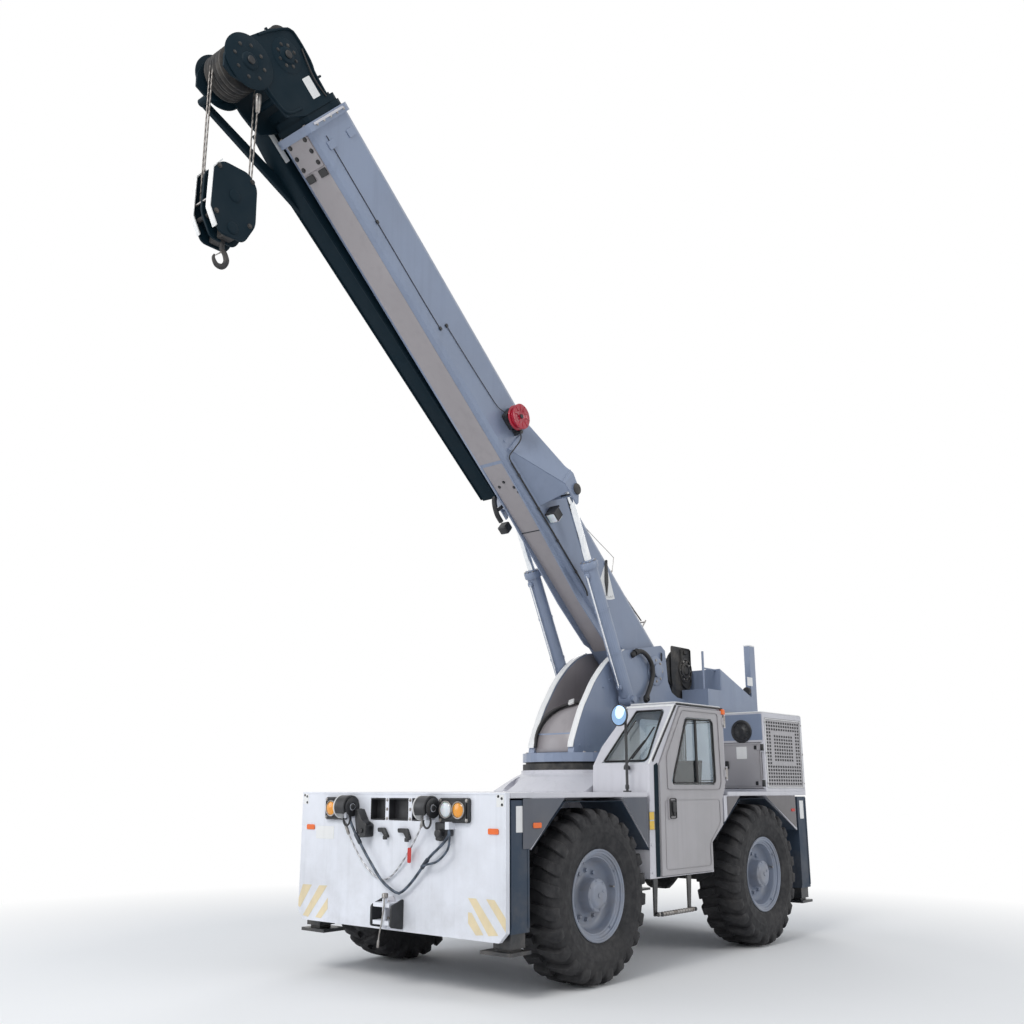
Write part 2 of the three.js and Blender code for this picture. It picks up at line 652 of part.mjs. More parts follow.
// ---------------------------------------------------------------- axles and wheels
function axle(end) {
  const direction = end === 'front' ? 1 : -1;
  const tube = bar([-kingpinX + 95, 0, 0], [kingpinX - 95, 0, 0], axleTubeRadius, 16);
  const banjo = turnedX([[-170, 0], [-170, 130], [-90, 205], [90, 205], [170, 130], [170, 0]], 16);
  const nose = bar([0, 0, 0], [0, direction * 330, 0], 110, 12, 70);
  const cylinder = bar([-330, direction * 250, 10], [330, direction * 250, 10], 45, 10);
  const steeringRod = bar([-560, direction * 250, 10], [560, direction * 250, 10], 22, 8);
  const bracket = box([-200, 200], [Math.min(0, direction * 250), Math.max(0, direction * 250)], [-25, 25]);
  const bumpStop = box([-100, 100], [-70, 70], [150, 215]);
  let body = join(tube, banjo, nose, cylinder, steeringRod, bracket, bumpStop);
  for (const sign of [-1, 1]) {
    const xs = (a, b) => [sign * a, sign * b].sort((p, q) => p - q);
    body = join(body, box(xs(kingpinX - 110, kingpinX - 78), [-80, 80], [-yokeReach, yokeReach]));
    for (const up of [-1, 1]) {
      const zs = [up * 175, up * yokeReach].sort((p, q) => p - q);
      body = body.add(box(xs(kingpinX - 100, kingpinX + 45), [-60, 60], zs));
    }
  }
  return body;
}

// Knuckle about its kingpin at the origin; the wheel's spindle points along +X.
function knuckle(direction) {
  const body = bar([0, 0, -175 + seat], [0, 0, 175 - seat], 52, 16);
  const housing = box([-45, 70], [-66, 66], [-130, 130]);
  const spindleEnd = wheelX - kingpinX + rimFaceOffset - 25 - seat;
  const spindle = bar([30, 0, 0], [spindleEnd, 0, 0], 95, 20);
  const arm = plateZ([[-32, 0], [32, 0], [22, direction * 200], [-5, direction * 232],
    [-32, direction * 200]], [-100, -70]);
  return join(body, housing, spindle, arm);
}

function tyre() {
  const w = tyreWidth / 2;
  const points = [[-w + 48, beadRadius], [w - 48, beadRadius], [w - 48, rimLipRadius + 8],
    [w, 450], [w, 585], [w - 55, tyreRadius], [-w + 55, tyreRadius],
    [-w, 585], [-w, 450], [-w + 48, rimLipRadius + 8], [-w + 48, beadRadius]];
  return turnedX(points, wheelSides);
}

function rim() {
  const lip = rimLipOffset;
  const face = rimFaceOffset;
  const bed = beadRadius - seat;
  const points = [[face - 25, 0], [face - 25, bed - 22], [-lip, bed - 22],
    [-lip, rimLipRadius], [-lip + 12, rimLipRadius], [-lip + 12, bed], [lip - 12, bed],
    [lip - 12, rimLipRadius], [lip, rimLipRadius], [lip, bed - 16], [face, bed - 22],
    [face, hubCapRadius], [lip - 10, hubCapRadius], [lip + 6, hubCapRadius - 22], [lip + 6, 0]];
  return turnedX(points, wheelSides);
}

// ---------------------------------------------------------------- outriggers
// One beam with the upright leg tube on its outer end; sign +1 is the cab side.
function outriggerBeam(end, sign) {
  const y = legCentreY[end];
  const half = legSize / 2;
  const bottom = sign > 0 ? lowBeamBottom : highBeamBottom;
  const xs = (a, b) => [sign * a, sign * b].sort((p, q) => p - q);
  let leg = box(xs(legX - half, legX + half), [y - half, y + half], [legBottom, legTop]);
  const bore = half - legWall;
  leg = cut(leg, box(xs(legX - bore, legX + bore), [y - bore, y + bore], [legBottom - 10, legTop - legWall]));
  const foot = box(xs(legX - half - 12, legX + half - 2), [y - half - 4, y + half + 4], [legBottom - 3, legBottom + 22]);
  leg = leg.add(cut(foot, box(xs(legX - bore, legX + bore), [y - bore, y + bore], [legBottom - 10, legBottom + 40])));
  const beamEnd = boxHalfLength - 60;
  const beam = box(xs(-beamEnd, legX - half + 4), [y - beamWidth / 2, y + beamWidth / 2],
    [bottom, bottom + beamHeight]);
  const hollow = box(xs(-beamEnd - 10, legX - half - 60), [y - beamWidth / 2 + beamWall, y + beamWidth / 2 - beamWall],
    [bottom + beamWall, bottom + beamHeight - beamWall]);
  const shim = box(xs(legX - half + 1, legX - bore), [y - 60, y + 60], [legBottom + 60, legBottom + 400]);
  return join(cut(beam, hollow), leg, shim);
}

function outriggerJack(end, sign) {
  const y = legCentreY[end];
  const bore = legSize / 2 - legWall;
  const half = bore - runningGap;
  const x = sign * legX;
  const stem = box([x - half, x + half], [y - half, y + half], [padTopZ + 20, 1180]);
  const wear = box([x - half - runningGap + seat, x + half + runningGap - seat], [y - 50, y + 50], [900, 1150]);
  const neck = box([x - 60, x + 60], [y - 60, y + 60], [padTopZ - 5, padTopZ + 40]);
  const padX = x - sign * 35;
  const pad = box([padX - 145, padX + 145], [y - 120, y + 120], [padTopZ - padThickness, padTopZ]);
  return join(stem, wear, neck, pad);
}

// ---------------------------------------------------------------- slewing parts
function slewRing() {
  return turnedZ([[430, ringBottom + seat], [ringRadius, ringBottom + seat], [ringRadius, ringTop - 18],
    [ringRadius - 30, ringTop - 18], [ringRadius - 30, ringTop], [430, ringTop], [430, ringBottom + seat]], 36);
}

function turntable() {
  const side = [[-460, baseDiscTop - 5], [550, baseDiscTop - 5], [560, tailFloorZ], [1640, tailFloorZ],
    [1640, 2450], [1450, 2465], [1340, 2510], [1270, 2620], [1230, 2955], [1150, 3005], [450, 2887],
    [270, 2812], [100, 2700], [-80, 2530], [-190, 2385], [-300, 2230], [-440, 1950]];
  let body = turnedZ([[0, ringTop + seat], [ringRadius, ringTop + seat], [ringRadius, baseDiscTop],
    [0, baseDiscTop]], 36);
  for (const sign of [-1, 1]) {
    body = body.add(plateX(side, [sign * cheekInnerX, sign * cheekOuterX].sort((a, b) => a - b)));
    body = body.add(bar([sign * (cheekOuterX - 5), liftFootY, liftFootZ],
      [sign * (liftX + barrelRadius + 20), liftFootY, liftFootZ], 36, 16));
    body = body.add(bar([sign * (boomWidth / 2 + seat), pivotY, pivotZ], [sign * (cheekOuterX + 30), pivotY, pivotZ], 60, 20));
  }
  const inner = cheekInnerX + 10;
  const frontBox = box([-inner, inner], [-400, 200], [baseDiscTop - 5, 2020]);
  const bulkhead = box([-inner, inner], [515, 550], [baseDiscTop - 5, tailFloorZ + 25]);
  const floor = box([-inner, inner], [520, 1640], [tailFloorZ, tailFloorZ + 25]);
  return join(body, frontBox, bulkhead, floor);
}

function counterweight() {
  const w = counterweightHalfWidth;
  const start = 1640 + seat;
  const wedge = plateX([[start, tailFloorZ], [2720, tailFloorZ], [2720, 2500], [1925, 2800], [1925, 2560],
    [start, 2560]], [-w, w]);
  const pocket = box([-cheekInnerX - 20, cheekInnerX + 20], [start - 10, 1900], [2440, 2900]);
  const post = box([w - 70, w], [2650, 2780], [tailFloorZ, 3140]);
  const mast = bar([w - 60, 1660, 2555], [w - 60, 1660, 2975], 13, 10);
  const rail = bar([w - 60, 1660, 2790], [w - 60, 1935, 2790], 10, 8);
  return join(cut(wedge, pocket), post, mast, rail);
}

function winch() {
  const floor = tailFloorZ + 25 + seat;
  const [y, z] = winchAxis;
  const half = cheekInnerX - winchGap;
  const flange = half - drumGap;
  const drum = turnedX([[-flange, 0], [-flange, 228], [-flange + 19, 228], [-flange + 19, 130], [flange - 19, 130],
    [flange - 19, 228], [flange, 228], [flange, 0]], 24, [0, y, z]);
  const side = [[1440, floor], [1632, floor], [1632, 2450], [1700, 2480], [y + 120, z], [y + 40, z + 90], [y - 60, z + 90], [1440, 2480]];
  const base = box([-half, half], [1440, 1632], [floor, floor + 20]);
  return join(drum, plateX(side, [-half, -half + 16]), plateX(side, [half - 16, half]), base);
}

// ---------------------------------------------------------------- boom, in its own frame
// Local origin on the boom's foot pin; the boom points along -Y and its top is +Z.
const boomTube = { x: boomWidth / 2, bottom: boomBottom, top: boomTop };

function tubeSection(half, bottom, top, wall, s0, s1) {
  const outer = plateY(roundedRect(-half, half, bottom, top, 60), [-s1, -s0]);
  const inner = plateY(roundedRect(-half + wall, half - wall, bottom + wall, top - wall, 50), [-s1 - 60, -s0 + 10]);
  return { outer, inner };
}

function boomBase() {
  const { x, bottom, top } = boomTube;
  const { outer, inner } = tubeSection(x, bottom, top, boomWall, -boomRear, boomLength);
  const backPlate = box([-x + 20, x - 20], [boomRear - 14, boomRear], [bottom + 20, top - 20]);
  const collarOuter = plateY(roundedRect(-x - 22, x + 22, bottom - 22, top + 20, 60), [-boomLength - 20, -boomLength + 50]);
  let body = cut(join(outer, collarOuter), inner);
  const heel = plateX([[boomRear + 10, 190], [boomRear + 10, top + 10], [10, top + 10]], [-x - 5, x + 5]);
  body = cut(join(body, backPlate), heel);
  const cover = plateX([[boomRear - 1, 188], [9, top - 1], [9, top - 12], [boomRear - 1, 174]], [-x + 4, x - 4]);
  body = body.add(cover);
  const padInner = boomWall + runningGap - seat;
  body = join(body, box([-120, 120], [-boomLength + 10, -boomLength + 200], [bottom + 4, bottom + padInner]));
  // lower side plates, deeper towards the foot
  const chin = [[-2960, bottom + 20], [-2960, bottom - 2], [-2240, bottom - 25], [-1280, bottom - 78],
    [-700, bottom - 60], [-520, bottom + 20]];
  for (const sign of [-1, 1]) {
    const xs = (a, b) => [sign * a, sign * b].sort((p, q) => p - q);
    body = body.add(plateX(chin, xs(x - 66, x - 52)));
    // flared cheek that carries the head of the lift cylinder, closed below by a wedge
    const flare = [[x - 4, -3020], [x + 16, -3020], [liftX + 100, -2440], [liftX + 100, -2180], [liftX + 84, -2180],
      [liftX + 84, -2430], [x - 4, -2990]].map(([u, v]) => [sign * u, v]);
    const cheek = plateZ(sign > 0 ? flare.reverse() : flare, [-220, 330]);
    const trim = plateX([[-3100, 300], [-3020, 300], [-2530, 205], [-2420, 215], [-2270, 175], [-2160, 30],
      [-2000, 30], [-2000, 500], [-3100, 500]], xs(x - 20, liftX + 120));
    const foot = plateX([[-3100, -260], [-3100, -140], [-3010, -140], [-2440, 24], [-2100, 24], [-2100, -260]],
      xs(x - 20, liftX + 120));
    const plan = [[x - 4, -3008], [x + 14, -3008], [liftX + 94, -2436], [liftX + 94, -2350], [x - 4, -2350]]
      .map(([u, v]) => [sign * u, v]);
    const slope = [[x - 4, -150], [x - 4, 45], [liftX + 98, 45], [liftX + 98, 22]].map(([u, v]) => [sign * u, v]);
    const wedge = plateZ(sign > 0 ? plan : plan.reverse(), [-220, 45])
      .intersect(plateY(slope, [-3020, -2340]));
    const rib = box(xs(x - 4, liftX + 90), [-2475, -2455], [30, 215]);
    const jibBay = box([-x - 225, -x + 60], [-3200, -jibRear + 20], [-280, 48]);
    const pinStub = bar([sign * (x - 3), -liftHeadS, liftHeadP], [sign * (liftX - 60 - seat), -liftHeadS, liftHeadP], 60, 20);
    const outerStub = bar([sign * (liftX + 60 + seat), -liftHeadS, liftHeadP], [sign * (liftX + 108), -liftHeadS, liftHeadP], 60, 20);
    const flared = join(cut(cheek, trim, foot), wedge, rib);
    body = join(body, sign < 0 ? cut(flared, jibBay) : flared, pinStub, outerStub);
  }
  return body;
}

const midTube = { x: boomTube.x - boomWall - runningGap, bottom: boomBottom + boomWall + runningGap,
  top: boomTop - boomWall - runningGap };
const tipTube = { x: midTube.x - 10 - runningGap, bottom: midTube.bottom + 10 + runningGap,
  top: midTube.top - 10 - runningGap };

function boomMiddle() {
  const { x, bottom, top } = midTube;
  const { outer, inner } = tubeSection(x, bottom, top, 10, 250, boomLength + 55);
  const collar = plateY(roundedRect(-x - 14, x + 14, bottom - 14, top + 14, 60),
    [-boomLength - 75, -boomLength - 20 - seat]);
  const body = cut(join(outer, collar), inner);
  const pad = box([-110, 110], [-boomLength - 40, -boomLength + 100], [bottom + 4, bottom + 10 + runningGap - seat]);
  return join(body, pad);
}

// Innermost boom section with the nose plates that carry the sheaves.
function boomTip() {
  const { x, bottom, top } = tipTube;
  const start = boomLength + 75 + seat;
  const { outer, inner } = tubeSection(x, bottom, top, 10, 450, start + 80);
  let body = cut(outer, inner);
  const collar = plateY(roundedRect(-x - 26, x + 26, bottom - 14, top + 10, 50), [-start - 60, -start]);
  const hollow = plateY(roundedRect(-x + 10, x - 10, bottom + 10, top - 10, 50), [-start - 70, -start + 10]);
  const beyond = (reach) => -boomLength - reach;
  const nosePlate = [[-start - 5, 180], [beyond(330), 185], [beyond(410), 215], [beyond(620), 220],
    [beyond(720), 175], [beyond(770), -50], [beyond(785), -360], [beyond(800), -510], [beyond(750), -640],
    [beyond(675), -720], [beyond(590), -700], [beyond(520), -640], [beyond(470), -460], [beyond(320), -450],
    [beyond(140), -400], [-start - 5, -200]];
  body = body.add(cut(collar, hollow));
  for (const sign of [-1, 1]) {
    body = body.add(plateX(nosePlate, [sign * (x + 20), sign * (x + 40)].sort((a, b) => a - b)));
  }
  const crossPlate = box([-x - 22, x + 22], [-start - 150, -start - 50], [-190, 170]);
  const topPin = bar([-x - 30, beyond(670), 160], [x + 30, beyond(670), 160], 30, 12);
  const topSheave = turnedX([[-22, 0], [-22, 125], [22, 125], [22, 0]], 20, [0, beyond(670), 230]);
  const nosePins = [-1, 1].map((sign) =>
    bar([sign * (x + 48), -headPinS, headPinP], [sign * (sheaveHalf + seat), -headPinS, headPinP], 45, 16));
  const tie = bar([-x - 30, beyond(310), -250], [x + 30, beyond(310), -250], 30, 12);
  return join(body, crossPlate, topPin, topSheave, ...nosePins, tie);
}

function cableReel() {
  const x = boomTube.x + seat;
  const housing = box([x, x + 90], [-3295, -3135], [25, 175]);
  const reel = turnedX([[0, 0], [0, 118], [14, 124], [60, 124], [74, 118], [74, 0]], 28,
    [x + 86, -3205, 97]);
  return join(housing, reel);
}

// Lattice-free box jib stowed along the side of the boom, its fork towards the boom nose.
function stowedJib() {
  const inner = -boomTube.x - 25;
  const outer = inner - 190;
  const front = -boomLength + 430;
  const tips = -boomLength - 630;
  const boxBody = plateX([[-jibRear, -190], [-jibRear, 12], [front, 40], [front, -287]], [outer, inner]);
  const arms = [[front + 20, -20, tips, -60], [front + 20, -190, tips, -600]].map(([y0, z0, y1, z1]) => {
    const rise = 55;
    return plateX([[y0 + 60, z0 - rise], [y0 + 60, z0 + rise], [y1, z1 + 45], [y1 - 60, z1], [y1, z1 - 45]], [outer, outer + 60]);
  });
  const web = plateX([[front - 340, -90], [front - 340, -260], [front - 520, -350], [front - 520, -80]],
    [outer + 20, outer + 40]);
  const brackets = [front + 300, -3300].map((y) => box([inner - 10, -boomTube.x - seat], [y - 60, y + 60], [-90, 20]));
  return join(boxBody, ...arms, web, ...brackets);
}

// ---------------------------------------------------------------- lift cylinders
// Built along +Z from the foot pin at the origin; the bore runs through to the mouth.
function liftBarrel() {
  const eye = bar([-barrelRadius + 6, 0, 0], [barrelRadius - 6, 0, 0], 70, 20);
  const tube = bar([0, 0, 40], [0, 0, barrelLength], barrelRadius, 20);
  const gland = bar([0, 0, barrelLength - 70], [0, 0, barrelLength], barrelRadius + 6, 20);
  const bore = bar([0, 0, 110], [0, 0, barrelLength - 60], rodRadius + runningGap, 12);
  const mouth = bar([0, 0, barrelLength - 80], [0, 0, barrelLength + 10], rodRadius + seat * 2, 20);
  const pinHole = bar([-100, 0, 0], [100, 0, 0], 37, 16);
  return cut(join(eye, tube, gland), bore, mouth, pinHole);
}

function liftRod(length) {
  const eye = bar([-60, 0, length], [60, 0, length], 68, 20);
  const rod = bar([0, 0, 640], [0, 0, length - 20], rodRadius, 20);
  return join(rod, eye);
}

// ---------------------------------------------------------------- hook block and ropes
// Local origin on the nose pin; everything hangs plumb below it.
const blockTop = -fallsLength + 60;
const fallX = [-58, 58];
const fallY = blockSheaveRadius * Math.cos(Math.PI / blockSides) + ropeRadius + seat;

function hoistRopes() {
  let body = turnedX([[-sheaveHalf, 0], [-sheaveHalf, sheaveRadius], [sheaveHalf, sheaveRadius], [sheaveHalf, 0]], 24);
  for (const x of fallX) {
    for (const y of [-fallY, fallY]) {
      body = body.add(bar([x, y, 10], [x, y, blockTop - 250], ropeRadius, 8));
    }
  }
  return body;
}

function hookBlock() {
  const top = blockTop;
  const cheek = [[-120, top], [-200, top - 90], [-205, top - 420], [-110, top - 600], [110, top - 600],
    [205, top - 420], [200, top - 90], [120, top]];
  let body = null;
  for (const [x0, x1] of [[-125, -105], [-12, 12], [105, 125]]) {
    const plate = plateX(cheek, [x0, x1]);
    body = body ? body.add(plate) : plate;
  }
  const pin = bar([-135, 0, top - 250], [135, 0, top - 250], 38, 16);
  const lower = bar([-135, 0, top - 520], [135, 0, top - 520], 38, 16);
  const trunnion = box([-110, 110], [-60, 60], [top - 585, top - 500]);
  const hole = bar([0, 0, top - 700], [0, 0, top - 560], 32, 16);
  body = join(body, pin, lower, trunnion);
  for (const x of fallX) {
    body = body.add(turnedX([[-40, 0], [-40, blockSheaveRadius], [40, blockSheaveRadius], [40, 0]], blockSides,
      [x, 0, top - 250]));
  }
  return cut(body, hole);
}

function hook() {
  const arc = new THREE.CatmullRomCurve3([
    [0, 0, 0], [0, 0, -60], [0, 34, -96], [0, 46, -150], [0, 16, -200], [0, -36, -204], [0, -66, -162], [0, -64, -130],
  ].map((p) => new THREE.Vector3(...p)));
  const section = outline(circle(0, 0, 20, 8));
  const geometry = new THREE.ExtrudeGeometry(section, { extrudePath: arc, steps: 18, bevelEnabled: false });
  const shank = bar([0, 0, 30], [0, 0, -10], 22, 16);
  return join(solid(geometry), shank);
}

// ---------------------------------------------------------------- assembly
const degrees = Math.PI / 180;

function wheelSet(end, sign) {
  const label = `${end}_${sign > 0 ? 'left' : 'right'}`;
  const group = new THREE.Group();
  group.position.set(sign * kingpinX, axleY[end], axleZ);
  if (sign < 0) group.rotation.z = Math.PI;
  const armSide = (end === 'front' ? 1 : -1) * sign;
  const wheel = new THREE.Group();
  wheel.position.x = wheelX - kingpinX;
  wheel.add(piece(`${label}_tyre`, tyre(), tyreRubber), piece(`${label}_rim`, rim(), rimPaint));
  group.add(piece(`${label}_knuckle`, knuckle(armSide), darkSteel), wheel);
  return group;
}

function carrier() {
  const group = new THREE.Group();
  const body = new THREE.Group();
  body.position.z = bodyRaise;
  group.add(body);
  body.add(
    piece('chassis_frame', chassisFrame(), platePaint), piece('front_plate', frontPlate(), platePaint),
    piece('deck', deck(), lightPaint), piece('side_tanks', sideTanks(), lightPaint),
    piece('cab_shell', cabShell(), lightPaint), piece('windscreen', windscreen(), glassTint),
    piece('cab_rear_glass', cabRearGlass(), glassTint), piece('cab_inner_glass', cabInnerGlass(), glassTint),
    piece('cab_door', cabDoor(), lightPaint), piece('door_glass', doorGlass(), glassTint),
    piece('operator_station', operatorStation(), darkSteel), piece('seat_cushion', seatCushion(), seatVinyl),
    piece('cab_step', cabStep(), darkSteel), piece('mirror', mirror(), darkSteel),
    piece('engine_hood', engineHood(), lightPaint), piece('radiator_guard', radiatorGuard(), guardPaint),
    piece('hood_access_door', hoodAccessDoor(), lightPaint), piece('engine_block', engineBlock(), darkSteel),
    piece('slew_ring', slewRing(), darkSteel), piece('light_sling', lightSling(), ropeSteel),
    piece('dark_sling', darkSling(), darkSteel),
  );
  for (const end of ['front', 'rear']) {
    const mesh = piece(`${end}_axle`, axle(end), darkSteel);
    mesh.position.set(0, axleY[end], axleZ);
    group.add(mesh);
    for (const sign of [1, -1]) {
      const side = sign > 0 ? 'left' : 'right';
      group.add(wheelSet(end, sign));
      body.add(piece(`${end}_${side}_outrigger`, outriggerBeam(end, sign), platePaint),
        piece(`${end}_${side}_jack`, outriggerJack(end, sign), darkSteel));
    }
  }
  return group;
}

function liftCylinder(sign) {
  const side = sign > 0 ? 'left' : 'right';
  const e = boomElevation * degrees;
  const headY = pivotY - liftHeadS * Math.cos(e) + liftHeadP * Math.sin(e);
  const headZ = pivotZ + liftHeadS * Math.sin(e) + liftHeadP * Math.cos(e);
  const length = Math.hypot(headY - liftFootY, headZ - liftFootZ);
  const group = new THREE.Group();
  group.position.set(sign * liftX, liftFootY, liftFootZ);
  group.rotation.x = -Math.atan2(headY - liftFootY, headZ - liftFootZ);
  group.add(piece(`lift_barrel_${side}`, liftBarrel(), lightPaint), piece(`lift_rod_${side}`, liftRod(length), chromeSteel));
  return group;
}

function boom() {
  const group = new THREE.Group();
  group.position.set(0, pivotY, pivotZ);
  group.rotation.x = -boomElevation * degrees;
  group.add(piece('boom_base', boomBase(), lightPaint), piece('boom_middle', boomMiddle(), navyPaint),
    piece('boom_tip', boomTip(), navyPaint), piece('cable_reel', cableReel(), reelRed),
    piece('stowed_jib', stowedJib(), navyPaint));
  return group;
}

function hangingLoad() {
  const e = boomElevation * degrees;
  const group = new THREE.Group();
  group.position.set(0, pivotY - headPinS * Math.cos(e) + headPinP * Math.sin(e),
    pivotZ + headPinS * Math.sin(e) + headPinP * Math.cos(e));
  const hookMesh = piece('hook', hook(), darkSteel);
  hookMesh.position.z = blockTop - 560 - 30 - seat;
  group.add(piece('hoist_ropes', hoistRopes(), ropeSteel), piece('hook_block', hookBlock(), navyPaint), hookMesh);
  return group;
}

const crane = new THREE.Group();
const superstructure = new THREE.Group();
superstructure.position.z = bodyRaise;
superstructure.add(piece('turntable', turntable(), lightPaint), piece('counterweight', counterweight(), lightPaint),
  piece('winch', winch(), darkSteel), boom(), liftCylinder(1), liftCylinder(-1), hangingLoad());
crane.add(carrier(), superstructure);
crane.position.y = originShiftY;

export default crane;
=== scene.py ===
"""Rough-terrain mobile crane: finished surfaces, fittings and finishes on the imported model.

Lengths are metres. Shapes are worked out in machine coordinates, where x = 0, y = 0 is the slewing centre,
the boom points along -Y and the cab side is +X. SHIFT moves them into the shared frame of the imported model.
"""
import json
import math

import bpy
import numpy as np
from bpy.props import FloatProperty, FloatVectorProperty, IntProperty, PointerProperty
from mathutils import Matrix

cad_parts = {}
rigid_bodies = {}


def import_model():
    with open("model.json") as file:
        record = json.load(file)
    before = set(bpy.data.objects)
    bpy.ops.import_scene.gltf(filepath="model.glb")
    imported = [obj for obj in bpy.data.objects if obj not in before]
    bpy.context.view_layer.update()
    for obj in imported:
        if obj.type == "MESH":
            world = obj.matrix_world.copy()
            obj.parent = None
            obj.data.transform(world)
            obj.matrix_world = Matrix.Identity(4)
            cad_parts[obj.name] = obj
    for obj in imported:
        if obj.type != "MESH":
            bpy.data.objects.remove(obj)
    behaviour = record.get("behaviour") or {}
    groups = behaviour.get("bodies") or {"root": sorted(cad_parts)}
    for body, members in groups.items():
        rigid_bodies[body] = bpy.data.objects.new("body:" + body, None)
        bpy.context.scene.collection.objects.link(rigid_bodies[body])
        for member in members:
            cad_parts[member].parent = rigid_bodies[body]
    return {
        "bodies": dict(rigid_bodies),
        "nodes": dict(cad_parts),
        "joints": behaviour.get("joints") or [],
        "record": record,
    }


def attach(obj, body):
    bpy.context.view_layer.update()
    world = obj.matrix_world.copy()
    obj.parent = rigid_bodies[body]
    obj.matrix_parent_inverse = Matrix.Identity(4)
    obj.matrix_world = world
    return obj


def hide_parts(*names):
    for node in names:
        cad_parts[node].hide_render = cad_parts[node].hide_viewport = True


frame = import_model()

bl_info = {
    "name": "Rough-Terrain Crane",
    "version": (1, 0, 0),
    "blender": (4, 5, 0),
    "location": "View3D > Sidebar > Crane",
    "description": "Builds the fine surfaces, fittings and finishes of a rough-terrain mobile crane",
    "category": "Add Mesh",
}

SHIFT = np.array([0.0, 0.945, 0.0])
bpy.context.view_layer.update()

# Boom frame at rest: foot pin, direction along the boom and square to it.
PIVOT = np.array([0.0, 1.019, 2.721])
LUFF = math.radians(42)
ALONG = np.array([0.0, -math.cos(LUFF), math.sin(LUFF)])
ACROSS = np.array([0.0, math.sin(LUFF), math.cos(LUFF)])
BOOM_HALF, BOOM_LOW, BOOM_TOP = 0.19, -0.24, 0.336
NOSE_PIN = PIVOT + ALONG * 6.95 + ACROSS * -0.457

AXLE_Z = 0.675 * math.cos(math.pi / 36)
AXLE_Y = {"front": -1.41, "rear": 1.41}
WHEEL_X = 1.25 - 0.445 / 2
PLATE_Y = -2.495
SIDE_X = 1.17
DECK_Z = 1.467


# ------------------------------------------------------------------ shapes
# A shape is (points, faces): an (n, 3) array and a list of index tuples.
def boom_point(x, s, p):
    """x across the machine, s along the boom from its foot pin, p square to it, as machine coordinates."""
    x, s, p = np.broadcast_arrays(np.asarray(x, float), s, p)
    return np.stack([x, 0 * x, 0 * x], -1) + PIVOT + s[..., None] * ALONG + p[..., None] * ACROSS


def grid_faces(rows, cols, wrap_rows=False, wrap_cols=True):
    """Quads of a grid of points, row i column j being point i * cols + j."""
    i = np.arange(rows if wrap_rows else rows - 1)[:, None]
    j = np.arange(cols if wrap_cols else cols - 1)[None, :]
    low, high = (i % rows) * cols, ((i + 1) % rows) * cols
    left, right = j % cols, (j + 1) % cols
    quads = np.stack([low + left, low + right, high + right, high + left], -1)
    return [tuple(q) for q in quads.reshape(-1, 4).tolist()]


def turned_out(points, faces):
    """The same shape with its faces pointing out: the cones of its faces from the origin sum to its volume."""
    total = 0.0
    for size in {len(f) for f in faces}:
        ring = np.array([f for f in faces if len(f) == size])
        first = points[ring[:, 0]]
        for k in range(1, size - 1):
            total += np.einsum("ij,ij->i", first, np.cross(points[ring[:, k]], points[ring[:, k + 1]])).sum()
    return (points, faces) if total >= 0 else (points, [tuple(reversed(f)) for f in faces])


def skin(rings, loop=False):
    """Closed surface through equal rings of points; the ends are capped flat unless the rings form a loop."""
    rings = np.asarray(rings, float)
    rows, cols = rings.shape[:2]
    faces = grid_faces(rows, cols, wrap_rows=loop)
    if not loop:
        faces += [tuple(range(cols))[::-1], tuple(range((rows - 1) * cols, rows * cols))]
    return turned_out(rings.reshape(-1, 3), faces)


def merged(shapes):
    """One shape made of many."""
    points, faces, start = [], [], 0
    for p, f in shapes:
        points.append(p)
        faces += [tuple(i + start for i in q) for q in f]
        start += len(p)
    return np.concatenate(points), faces


def moved(shape, offset):
    """The same shape shifted by an offset."""
    return shape[0] + np.asarray(offset, float), shape[1]


def placed(shape, origin, u, v, w=None):
    """Shape coordinates (a, b, c) become origin + a u + b v + c w; w is u x v unless given."""
    u, v = np.asarray(u, float), np.asarray(v, float)
    w = np.cross(u, v) if w is None else np.asarray(w, float)
    points = shape[0] @ np.stack([u, v, w]) + np.asarray(origin, float)
    return turned_out(points, shape[1])


def mirrored(shape):
    """The same shape on the other side of the machine."""
    return turned_out(shape[0] * np.array([-1.0, 1.0, 1.0]), shape[1])


def rounded(u0, u1, v0, v1, r, steps=4):
    """Outline of a rectangle whose corners are quarter circles of radius r."""
    t = np.linspace(0, math.pi / 2, steps + 1)
    corners = [((u1 - r, v1 - r), 0), ((u0 + r, v1 - r), 1), ((u0 + r, v0 + r), 2), ((u1 - r, v0 + r), 3)]
    parts = [np.stack([c[0] + r * np.cos(t + q * math.pi / 2), c[1] + r * np.sin(t + q * math.pi / 2)], -1)
             for c, q in corners]
    return np.concatenate(parts)


def circle(r, steps=24, cu=0.0, cv=0.0):
    """Outline of a circle of radius r about (cu, cv)."""
    t = np.arange(steps) * 2 * math.pi / steps
    return np.stack([cu + r * np.cos(t), cv + r * np.sin(t)], -1)


def inset(outline, d):
    """Outline moved in by d: a corner goes along the sum of its edge normals over one plus their cosine."""
    outline = np.asarray(outline, float)
    edge = np.roll(outline, -1, 0) - outline
    edge /= np.maximum(np.linalg.norm(edge, axis=1, keepdims=True), 1e-12)
    normal = np.stack([-edge[:, 1], edge[:, 0]], -1)
    x, y = outline[:, 0], outline[:, 1]
    area = np.sum(x * np.roll(y, -1) - y * np.roll(x, -1))
    before = np.roll(normal, 1, 0)
    cosine = np.maximum((before * normal).sum(1, keepdims=True), -0.6)
    return outline + math.copysign(d, area) * (before + normal) / (1 + cosine)


